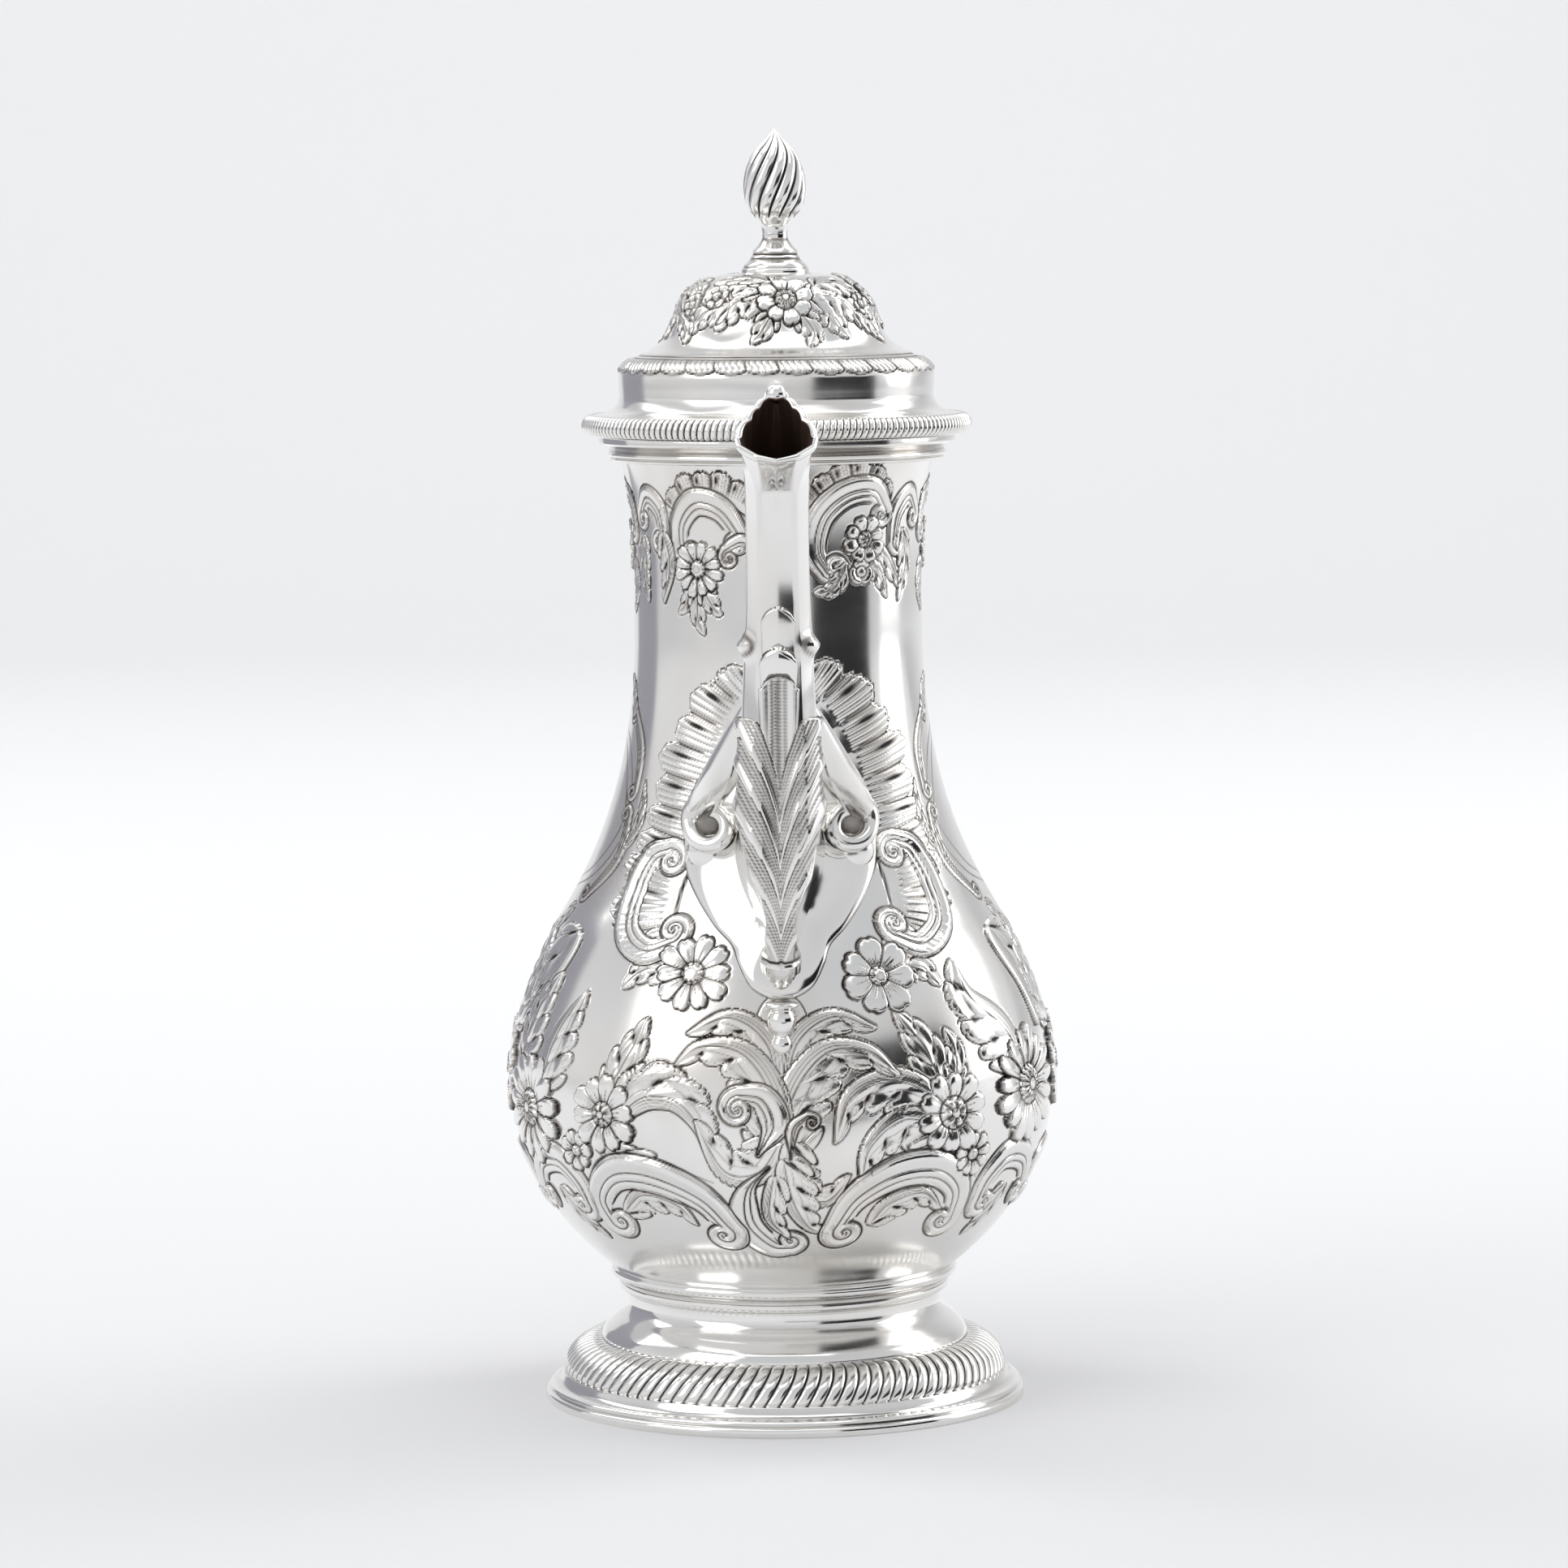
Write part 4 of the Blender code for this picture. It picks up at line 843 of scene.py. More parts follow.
def chase_border(work):
    """The fluted shell border, scrolls and flowers round the foot of the spout."""
    work.shell([(-6, 172, 6.5), (-15, 167, 10.5), (-22, 158, 13.5), (-26, 148, 15.5), (-28, 138, 15),
                (-30, 130, 17.5), (-31, 121, 18), (-27, 112, 12.5)], 10, 5, 1.0, side=-1)
    work.shell([(6, 172, 7), (16, 167, 12), (24, 158, 15.5), (29, 148, 17.5), (31, 138, 17),
                (33, 130, 18), (33, 121, 17), (28, 113, 12)], 10, 5, 1.0, side=1)
    work.leaf([(-24, 109), (-31, 114), (-39, 112)], 4.6, 0.9, 4)
    work.leaf([(-24, 107), (-33, 108), (-39, 103)], 4.4, 0.9, 4)
    work.leaf([(26, 108), (32, 114), (39, 113)], 4.2, 0.9, 4)
    work.leaf([(26, 107), (34, 108), (39, 103)], 4.2, 0.9, 4)
    work.scroll([(-36, 134.5), (-43, 132), (-45.5, 124), (-43, 115.5), (-35, 111.5), (-27, 114)],
                2.9, 1.2, (3.3, 3.4), (1, 1))
    work.scroll([(38, 136), (45, 133.5), (48.5, 125), (46, 117), (37, 112.5), (29, 115)],
                2.9, 1.2, (3.3, 3.4), (1, 1))
    work.flower(-21, 107.5, 9.3, 10, 1.3, 15, heart=0.26)
    work.flower(23, 106.5, 9.3, 7, 1.4, 30, heart=0.22)


def chase_neck(work):
    """Flat chased band under the mouth, and the blank cartouches at the sides."""
    for path in (((-34, 195), (-39, 190), (-43, 188)), ((-33, 194), (-33, 187), (-30, 183)),
                 ((-31, 194), (-25, 189), (-22, 188))):
        work.leaf(path, 2.6, 0.35, 3)
    work.shell([(-47, 204, 3.6), (-43, 211, 5.0), (-35, 215, 5.6), (-26, 216, 5.6), (-17, 214.5, 5.2),
                (-8, 211, 4.4)], 8, 6, 0.45, side=1)
    work.scroll([(-41, 202), (-41, 209), (-33, 214), (-22, 212.5), (-14, 206)], 2.5, 0.7,
                (2.6, 2.0), (1, 1))
    work.scroll([(-10, 203), (-14, 205), (-21, 203)], 1.4, 0.45, (0, 2.2), (1, 1))
    work.flower(-33, 198.5, 6.6, 12, 0.7, 0, heart=0.28)
    work.scroll([(-50, 205), (-52, 212), (-60, 215), (-67, 211)], 2.1, 0.5, (2.2, 2.0), (1, 1))
    work.leaf([(-50, 207), (-47, 199), (-51, 190)], 3.2, 0.45, 4, side=-1)
    work.leaf([(-66, 206), (-66, 198), (-62, 190)], 3.2, 0.45, 4)
    work.shell([(9, 208, 4.0), (16, 214, 5.4), (26, 218, 5.2), (36, 218.5, 4.8), (47, 214, 3.4)],
               7, 6, 0.5, side=1)
    work.scroll([(19, 197.5), (14, 203), (17, 211), (27, 216), (39, 216.5), (46, 212)], 2.6, 0.85,
                (2.6, 2.2), (1, 1))
    work.leaf([(38, 204), (47, 201), (57, 193)], 3.0, 0.45, 4, side=-1)
    work.leaf([(33, 200), (43, 198), (48, 191)], 2.8, 0.45, 4, side=-1)
    work.leaf([(28, 200), (22, 194), (14, 193)], 2.6, 0.45, 4)
    work.flower(34.5, 197.5, 3.2, 3, 0.6, 90, heart=0.4)
    work.flower(36, 205, 5.6, 8, 0.95, 5, heart=0.32, pearls=7)
    work.scroll([(51, 204), (53, 211), (61, 215), (68, 211)], 2.1, 0.5, (2.2, 2.0), (1, 1))
    work.leaf([(57, 207), (60, 199), (55, 190)], 3.2, 0.45, 4)
    for side in (-1, 1):
        work.shell([(side * 74, 214, 3.6), (side * 90, 218, 4.6)], 3, 6, 0.45, side=-side)
        work.scroll([(side * 74, 207), (side * 79, 214), (side * 90, 215)], 2.1, 0.55, (2.0, 0))
        work.flower(side * 90, 203, 6.0, 10, 0.7, 0)
        work.leaf([(side * 80, 200), (side * 76, 193), (side * 80, 187)], 2.8, 0.4, 4)
        for low, high, out in ((126, 152, 62), (128, 150, 65)):
            work.line([(side * 90, low - 4), (side * (out + 10), low), (side * out, low + 9),
                       (side * (out + 2), high - 6), (side * (out + 12), high + 4),
                       (side * 90, high + 9)], 0.22, 0.06)
        work.scroll([(side * 70, 121), (side * 60, 130), (side * 61, 141)], 1.3, 0.22, (1.8, 1.8))
        work.scroll([(side * 61, 146), (side * 63, 156), (side * 72, 164)], 1.3, 0.22, (1.8, 1.8))
        work.leaf([(side * 58, 133), (side * 54, 140), (side * 56, 149)], 1.8, 0.2, 4)
        work.leaf([(side * 74, 163), (side * 80, 170), (side * 90, 172)], 2.4, 0.22, 4)
        work.leaf([(side * 74, 119), (side * 82, 114), (side * 90, 113)], 2.4, 0.22, 4)


def body_rows():
    """Heights spaced evenly along the wall of the body."""
    lengths = np.arange(0, LENGTH_S[-1], FINE)
    lengths = np.append(lengths, LENGTH_S[-1])
    return np.interp(lengths, LENGTH_S, LENGTH_Z)


def make_body():
    """The chased wall: sheets in front and behind, each of at most PIECE_TRIANGLES triangles."""
    heights = body_rows()
    heights = heights[heights <= CHASED_TOP]
    split = int(np.searchsorted(heights, SHOULDER))
    for side, dense in (("front", FRONT_COLUMNS), ("back", FRONT_COLUMNS // 2)):
        degrees = np.linspace(-90, 90, dense + 1)
        work = Chasing(degrees, heights, body_radius, body_length)
        chase_belly(work)
        chase_border(work)
        chase_neck(work)
        skin = work.radius[:, None] + 0.02 + work.relief
        turn = np.radians(degrees)[None, :]
        face = -1 if side == "front" else 1
        points = np.stack([-face * skin * np.sin(turn), face * skin * np.cos(turn),
                           heights[:, None] + 0 * skin], axis=2)
        normals = surface_normals(points)
        tarnish_and_shade = np.clip(work.dark, 0, 1)
        start = 0
        while start < len(heights) - 1:
            low = start < split
            gap = 2 if side == "front" and not low else 1
            room = PIECE_TRIANGLES // 2 // (dense // gap)
            end = min(start + room, split if low else len(heights) - 1)
            part = points[start:end + 1, ::gap].copy()
            if end == split and side == "front" and low:
                part[-1, 1::2] = (part[-1, 0:-1:2] + part[-1, 2::2]) / 2
            rows = slice(start, end + 1)
            sheet = press(f"body_{side}_{start:03d}", part, normals=normals[rows, ::gap],
                          tarnish_and_shade=tarnish_and_shade[rows, ::gap], matting=work.matted[rows, ::gap])
            finish(sheet, CHASED, "pot", "silver", "body_shell")
            start = end


def make_lining():
    """The inside wall of the body and its domed bottom, seen when the lid is open."""
    heights = np.linspace(228.4, 31.5, 70)
    outer = [(float(body_radius(z)) - 0.45, z) for z in heights]
    dome = [(40 * math.sin(a), 31.5 - 6.0 * math.cos(a)) for a in np.radians([72, 60, 48, 36, 24, 12])]
    inner = [(r - 0.55, z) for r, z in outer][::-1]
    inner_dome = [(r * 0.985, z + 0.8) for r, z in dome][::-1]
    outline = outer + dome + [(0, 25.5), (0, 26.4)] + inner_dome + inner
    lining = turned("body_lining", outline, 128)
    recesses(lining, 0.5)
    finish(lining, INSIDE, "pot", "silver", "body_shell")


def rounded(outline, per_span=4):
    """An outline with its corners run into curves."""
    return [tuple(p) for p in smooth_line(outline, per_span)]


def make_plain_turnings():
    moulding = [(41.9, 228.4), (42.05, 227.8), (41.95, 227.0), (41.2, 226.5), (40.2, 226.2), (39.6, 225.8),
                (39.3, 225.2), (39.5, 224.8), (39.9, 224.6), (40.0, 224.2), (39.8, 223.8), (39.3, 223.6),
                (39.2, 223.4), (39.5, 223.1), (39.4, 222.8), (38.9, 222.6), (38.0, 222.7), (38.6, 228.4)]
    piece = turned("mouth_moulding", moulding, 192)
    recesses(piece, 2.5)
    finish(piece, PLAIN, "pot", "silver", "mouth_moulding")

    collar = [(40.3, 31.7), (40.9, 31.3), (41.2, 30.7), (41.15, 30.1), (40.7, 29.5), (40.0, 29.1),
              (39.3, 28.9), (38.9, 28.6), (38.7, 28.1), (38.75, 27.7), (39.1, 27.5), (39.2, 27.0),
              (39.1, 26.4), (38.6, 25.9), (37.9, 25.7), (37.5, 25.4), (37.35, 25.0), (37.3, 26.0),
              (37.3, 28.0), (38.2, 30.6)]
    piece = turned("foot_collar", collar, 192)
    recesses(piece, 2.5)
    finish(piece, PLAIN, "pot", "silver", "foot_collar")

    stem = rounded([(37.2, 28.4), (36.95, 26.2), (36.9, 23.8), (37.2, 22.3), (38.5, 20.6), (40.6, 18.8),
                    (42.6, 16.8), (43.5, 15.2), (43.6, 14.6)], 5)
    stem += [(43.4, 13.6), (49.0, 8.0), (49.6, 6.4), (48.9, 6.4), (48.3, 7.7), (42.7, 13.3), (42.6, 14.4)]
    stem += rounded([(41.6, 16.2), (39.6, 18.2), (37.4, 20.0), (36.2, 22.0), (35.95, 23.8), (36.0, 26.2),
                     (36.3, 28.4)], 4)
    piece = turned("foot_shell", stem, 192)
    recesses(piece, 1.5)
    finish(piece, PLAIN, "pot", "silver", "foot_shell")

    rim = [(52.6, 6.5), (53.0, 6.4), (53.3, 6.0), (53.5, 5.2), (53.9, 4.6), (54.5, 4.1), (55.2, 3.8),
           (55.7, 3.7), (56.0, 3.5), (56.2, 3.1), (56.1, 2.7), (55.9, 2.5), (56.1, 2.3), (56.6, 2.2),
           (56.95, 1.8), (57.0, 1.2), (57.0, 0.4), (56.8, 0.0), (50.2, 0.0), (50.0, 0.3), (50.0, 3.6),
           (50.6, 4.5), (51.2, 4.6), (51.4, 6.3)]
    piece = turned("foot_base_rim", rim, 224)
    recesses(piece, 2.0)
    finish(piece, PLAIN, "pot", "silver", "foot_base_rim")


def make_gadroons(name, outline, count, across, lean, bow, depth, body, grow, node_name):
    """A ring of slanting lobes. outline runs from the upper edge to the lower one."""
    line = smooth_line(outline, grow)
    length = np.concatenate([[0], np.cumsum(np.hypot(*np.diff(line, axis=0).T))])
    share = length / length[-1]
    slope = np.gradient(line, axis=0)
    out = np.column_stack([-slope[:, 1], slope[:, 0]])
    out /= np.linalg.norm(out, axis=1)[:, None]
    turn = np.linspace(0, math.tau, count * across + 1)[None, :]
    wave = (turn * count / math.tau + lean * share[:, None] + bow * np.sin(np.pi * share)[:, None])
    wave = wave % 1.0 * 2 - 1
    ends = np.clip(np.sin(np.pi * share), 0, 1)[:, None] ** 0.35
    lobe = np.sqrt(np.clip(1 - np.abs(wave) ** 2.2, 0, 1))
    rise = depth * (lobe - 0.55) * ends
    radius = line[:, :1] + out[:, :1] * rise
    height = line[:, 1:] + out[:, 1:] * rise
    ring = np.stack([radius * np.sin(turn), -radius * np.cos(turn), height], axis=2)
    dark = step(np.abs(wave), 0.72, 0.95) * ends
    piece = press(name, ring[::-1], joined=True, tarnish_and_shade=dark[::-1])
    finish(piece, CAST, body, "silver", node_name)
    return piece


# ------------------------------------------------------------------------- lid
LID_LINE = ((42.6, 232.6), (42.9, 233.1), (42.4, 233.5), (40.2, 233.9), (38.6, 234.7), (37.6, 236.0),
            (37.0, 237.3), (37.0, 238.5), (37.1, 240.0), (37.15, 241.8), (37.1, 243.0), (36.7, 244.2),
            (35.6, 245.4), (33.9, 246.4), (32.4, 247.2), (30.9, 248.0), (29.1, 248.9), (27.6, 250.0),
            (26.4, 251.2), (25.4, 252.8), (24.5, 254.6), (23.8, 256.2), (23.1, 257.8), (22.2, 259.8),
            (21.0, 261.4), (19.4, 263.0), (17.2, 264.5), (14.8, 265.5), (12.0, 266.05), (8.2, 266.15))


def chase_lid(work, low_line, high_line):
    """Slanting flutes on the lid's shoulder, with a line at their foot and two lines above them."""
    rows = work.heights[:, None]
    angle = work.degrees[None, :]
    count = 30
    phase = (angle / 360 * count + (rows - high_line) * 0.05) % 1.0
    lobe = np.abs(np.sin(np.pi * phase))
    low = low_line + 1.0 * (1 - lobe ** 0.5)
    inside = np.minimum(rows - low, high_line - rows)
    mask = step(inside, -0.05, 0.15)
    fine = (phase * 5 + 0.12 * (rows - low_line)) % 1.0
    rib = np.abs(np.sin(np.pi * fine))
    work.relief += mask * (0.30 + 0.25 * rib - 0.15 * bell(lobe, 0.2))
    dark = np.maximum(bell(rib, 0.28) * 0.55, bell(lobe, 0.10) * 0.8) * mask
    work.dark = np.maximum(work.dark, dark)
    edge = bell(rows - low + 0.1, 0.16)
    work.dark = np.maximum(work.dark, 0.9 * edge)
    work.relief -= 0.10 * edge
    for line_height in (high_line + 0.35, high_line + 0.95):
        cut = bell(rows - line_height, 0.13)
        work.relief -= 0.12 * cut
        work.dark = np.maximum(work.dark, 0.8 * cut + 0 * angle)


def chase_dome(work):
    """Three sprays round the dome, each with its large flower turned a little from the middle."""
    for a in (6, 124, -112):
        spray = (
            ([(a - 8, 260), (a - 28, 260), (a - 40, 253)], 5.4, 5),
            ([(a - 14, 262), (a - 34, 263.5), (a - 50, 259)], 4.6, 5),
            ([(a - 34, 259), (a - 50, 257), (a - 58, 252)], 4.4, 4),
            ([(a + 10, 260), (a + 24, 258), (a + 34, 251)], 4.6, 5),
            ([(a + 14, 261), (a + 36, 260), (a + 50, 254)], 5.2, 5),
            ([(a + 8, 257), (a + 14, 252.5), (a + 10, 249.5)], 3.2, 3),
            ([(a - 8, 257), (a - 13, 253), (a - 18, 250)], 3.0, 3),
            ([(a + 22, 263), (a + 40, 263.5), (a + 60, 260)], 3.8, 4),
            ([(a - 10, 264), (a - 30, 265), (a - 56, 263.5)], 3.2, 4),
            ([(a + 44, 257), (a + 56, 254), (a + 62, 250)], 3.2, 4),
        )
        for path, width, lobes in spray:
            work.leaf(path, width, 0.75, lobes)
        work.flower(a - 45, 261, 3.4, 6, 0.8, 20, heart=0.36)
        work.flower(a + 54, 259, 3.0, 6, 0.8, 20, heart=0.36)
        work.flower(a, 260.4, 6.6, 8, 1.2, 10, heart=0.36, pearls=16)


def make_lid():
    """The domed lid, its lining, the ring under its finial and its bezel."""
    line = smooth_line([p[::-1] for p in LID_LINE], 6)
    heights, radii = line[:, 0], line[:, 1]
    length = np.concatenate([[0], np.cumsum(np.hypot(np.diff(heights), np.diff(radii)))])
    number = int(length[-1] / 0.34)
    even = np.linspace(0, length[-1], number)
    rows_z = np.interp(even, length, heights)
    rows_r = np.interp(even, length, radii)
    slope_r, slope_z = np.gradient(rows_r), np.gradient(rows_z)
    size = np.hypot(slope_r, slope_z)
    out_r, out_z = slope_z / size, -slope_r / size
    order = np.maximum.accumulate(rows_z + np.arange(number) * 1e-6)

    def radius_at(z):
        return np.interp(z, order, rows_r)

    def length_at(z):
        return np.interp(z, order, even)

    for side in ("front", "back"):
        columns = 400 if side == "front" else 300
        degrees = np.linspace(-90, 90, columns + 1)
        seen = degrees if side == "front" else degrees + 180
        work = Chasing(seen, order, radius_at, length_at)
        work.radius = rows_r
        work.length = even
        chase_dome(work)
        if side == "back":
            work.degrees = degrees - 180
            chase_dome(work)
            work.degrees = seen
        chase_lid(work, 243.5, 246.4)
        lift = work.relief
        turn = np.radians(seen)[None, :]
        radius = rows_r[:, None] + out_r[:, None] * lift
        height = rows_z[:, None] + out_z[:, None] * lift
        points = np.stack([radius * np.sin(turn), -radius * np.cos(turn), height], axis=2)
        normals = surface_normals(points)
        sheet = press(f"lid_{side}", points, normals=normals, tarnish_and_shade=np.clip(work.dark, 0, 1),
                      matting=work.matted)
        finish(sheet, CHASED, "lid", "silver", "lid_shell")

    inner = [(42.5, 232.4)] + [(r - 0.9, z - 0.35) for r, z in LID_LINE[2:-4]]
    inner += [(17.0, 263.5), (12.0, 265.0), (1.8, 265.1), (1.8, 265.9), (8.6, 265.9), (12.0, 265.6)]
    inner += [(r - 0.35, z - 0.3) for r, z in LID_LINE[-5:2:-1]]
    piece = turned("lid_lining", inner, 128)
    recesses(piece, 0.6)
    finish(piece, INSIDE, "lid", "silver", "lid_shell")

    top = [(8.1, 266.15), (8.6, 266.35), (8.8, 266.1), (8.6, 265.9), (1.8, 265.9), (1.8, 266.15)]
    piece = turned("lid_top_ring", top, 96)
    recesses(piece, 1.0)
    finish(piece, PLAIN, "lid", "silver", "lid_shell")

    bezel = [(42.9, 229.7), (42.9, 229.0), (42.4, 228.8), (37.6, 228.8), (36.9, 228.5), (36.6, 228.0),
             (36.55, 222.8), (36.2, 222.5), (35.7, 222.6), (35.5, 223.0), (35.5, 229.0), (35.9, 229.8)]
    piece = turned("lid_bezel", bezel, 128)
    recesses(piece, 0.8)
    finish(piece, INSIDE, "lid", "silver", "lid_bezel")


def make_finial():
    """The turned pedestal and the writhen flame on it."""
    outline = [(3.05, 275.4), (3.0, 274.6), (3.05, 274.2), (3.4, 273.6), (4.0, 272.9), (4.7, 272.2),
               (5.2, 271.7), (5.4, 271.3), (5.2, 270.9), (5.2, 270.6), (5.7, 270.4), (5.95, 270.0),
               (5.75, 269.65), (5.9, 269.4), (6.7, 268.9), (7.3, 268.3), (7.6, 267.8), (7.6, 267.5),
               (7.9, 267.3), (8.05, 266.9), (8.0, 266.4), (7.8, 266.2), (1.7, 266.2), (1.7, 275.4)]
    piece = turned("finial_pedestal", outline, 96)
    recesses(piece, 2.0)
    finish(piece, PLAIN, "lid", "silver", "finial_pedestal")

    line = smooth_line([(0.02, 300.0), (0.9, 299.0), (1.9, 297.8), (3.4, 296.2), (4.9, 294.4), (5.9, 292.5),
                        (6.55, 290.4), (6.95, 288.2), (7.1, 286.0), (7.0, 284.0), (6.5, 282.2),
                        (5.6, 280.6), (4.6, 279.3), (3.7, 278.1), (3.2, 277.0), (3.0, 275.9),
                        (3.0, 275.5)], 6)
    turn = np.linspace(0, math.tau, 289)[None, :]
    wave = (12 * turn / math.tau - 2.6 * (line[:, 1:] - 276) / 24 * 1.15) % 1.0 * 2 - 1
    deep = np.clip(np.minimum(line[:, :1] * 0.16, 1.05) * step(line[:, 1:], 278.4, 281.6), 0, 1.2)
    groove = np.sqrt(np.clip(1 - np.abs(wave) ** 1.6, 0, 1))
    radius = line[:, :1] + deep * (groove - 0.75) * 1.15
    petal = step(279.6 - line[:, 1:] + 0.7 * np.abs(np.cos(turn * 4)), 0.0, 0.9)
    petal = petal * step(line[:, 1:], 277.0, 278.6)
    radius = radius + 0.22 * petal
    points = np.stack([radius * np.sin(turn), -radius * np.cos(turn), line[:, 1:] + 0 * turn], axis=2)
    dark = step(np.abs(wave), 0.70, 0.98) * step(deep, 0.02, 0.3)
    dark = np.maximum(dark, 0.35 * bell(279.8 - line[:, 1:] + 0.7 * np.abs(np.cos(turn * 4)), 0.4))
    piece = press("finial_flame", points[::-1], joined=True, tarnish_and_shade=dark[::-1])
    finish(piece, CAST, "lid", "silver", "finial_flame")


# ----------------------------------------------------------------------- spout
SPOUT_LINE = (  # front reach, front height, back reach, back height, half width
    (62.0, 104.8, 39.5, 153.5, 10.6), (68.5, 110.6, 46.5, 156.5, 9.9), (77.0, 121.5, 57.0, 160.0, 9.4),
    (83.4, 138.0, 66.5, 166.0, 9.0), (85.8, 157.5, 71.5, 175.5, 8.5), (86.0, 175.5, 74.2, 187.0, 7.8),
    (87.7, 193.5, 76.6, 200.0, 7.15), (92.3, 208.5, 80.2, 214.0, 7.0), (99.3, 219.3, 85.5, 227.0, 7.2))
MOUTH = ((0, 0.0, 111.8, 226.9), (22, 4.6, 110.2, 228.0), (40, 8.5, 105.8, 230.1), (52, 8.9, 103.4, 231.6),
         (75, 7.3, 100.5, 234.2), (110, 5.1, 97.6, 237.4), (148, 2.5, 95.3, 240.0), (180, 0.0, 94.5, 241.6))


def spout_section(angle):
    """Unit section of the spout: flat in front, with soft corners."""
    keys = np.array([(0, 0, 1.0), (24, 0.50, 0.995), (38, 0.66, 0.93), (62, 1.0, 0.40), (80, 1.02, 0.10),
                     (105, 0.98, -0.25), (140, 0.66, -0.80), (165, 0.25, -0.98), (180, 0, -1.0)])
    away = np.abs(angle)
    x = np.interp(away, keys[:, 0], keys[:, 1])
    y = np.interp(away, keys[:, 0], keys[:, 2])
    round_x, round_y = np.sin(np.radians(away)), np.cos(np.radians(away))
    return np.sign(angle) * (0.62 * x + 0.38 * round_x), 0.62 * y + 0.38 * round_y


def spout_surface(rows=150, columns=240, grow=0.0):
    """The outside of the spout, grown or shrunk by some mm, and the angle of each column."""
    stations = smooth_line(SPOUT_LINE, 12)
    pick = np.linspace(0, len(stations) - 1, rows)
    low = pick.astype(int).clip(0, len(stations) - 2)
    part = (pick - low)[:, None]
    line = stations[low] * (1 - part) + stations[low + 1] * part
    angle = np.linspace(-180, 180, columns + 1)
    sx, sy = spout_section(angle)
    centre_y = (line[:, 0] + line[:, 2]) / 2
    centre_z = (line[:, 1] + line[:, 3]) / 2
    arm = np.column_stack([line[:, 0] - centre_y, line[:, 1] - centre_z])
    size = np.linalg.norm(arm, axis=1)[:, None]
    arm = arm * (1 + grow / size)
    width = line[:, 4] + grow
    y = -(centre_y[:, None] + arm[:, :1] * sy[None, :])
    z = centre_z[:, None] + arm[:, 1:] * sy[None, :]
    taper = np.interp(z, [104, 111, 120, 130, 143], [0.42, 0.40, 0.52, 0.78, 1.0])
    x = width[:, None] * sx[None, :] * (1 - (1 - taper) * step(sy[None, :], -0.6, 0.5))
    points = np.stack([x, y, z], axis=2)
    keys = np.array(MOUTH)
    away = np.abs(angle)
    mouth_x = np.sign(angle) * np.interp(away, keys[:, 0], keys[:, 1])
    mouth_y = np.interp(away, keys[:, 0], keys[:, 2])
    mouth_z = np.interp(away, keys[:, 0], keys[:, 3])
    scallop = np.abs(np.sin((away - 56) / 31 * math.pi)) * (away > 56) * (away < 168)
    mouth_x = mouth_x * (1 + 0.06 * scallop) + np.sign(angle) * grow * (away > 2)
    mouth_y = mouth_y + grow * 0.8 * np.cos(np.radians(away))
    mouth_z = mouth_z + 0.45 * scallop
    lip = np.stack([mouth_x, -mouth_y, mouth_z], axis=1)
    last = points[-1]
    before = points[-4]
    count = 22
    rise = []
    for k in range(1, count + 1):
        t = k / count
        drift = (last - before) / 3 * 0.35 * count * (t - t**2) * 0.5
        rise.append(last * (1 - t) + lip * t + drift)
    return np.concatenate([points, np.array(rise)], axis=0), angle


def spout_root(ring):
    """The spout's first ring carried on to the body, under the plate."""
    root = ring.copy()
    root[:, :, 0] *= 1.10
    surface = -np.sqrt(np.maximum((body_radius(root[:, :, 2]) + 0.3) ** 2 - root[:, :, 0] ** 2, 1.0))
    root[:, :, 1] = np.maximum(root[:, :, 1] + 0.2, surface)
    return root


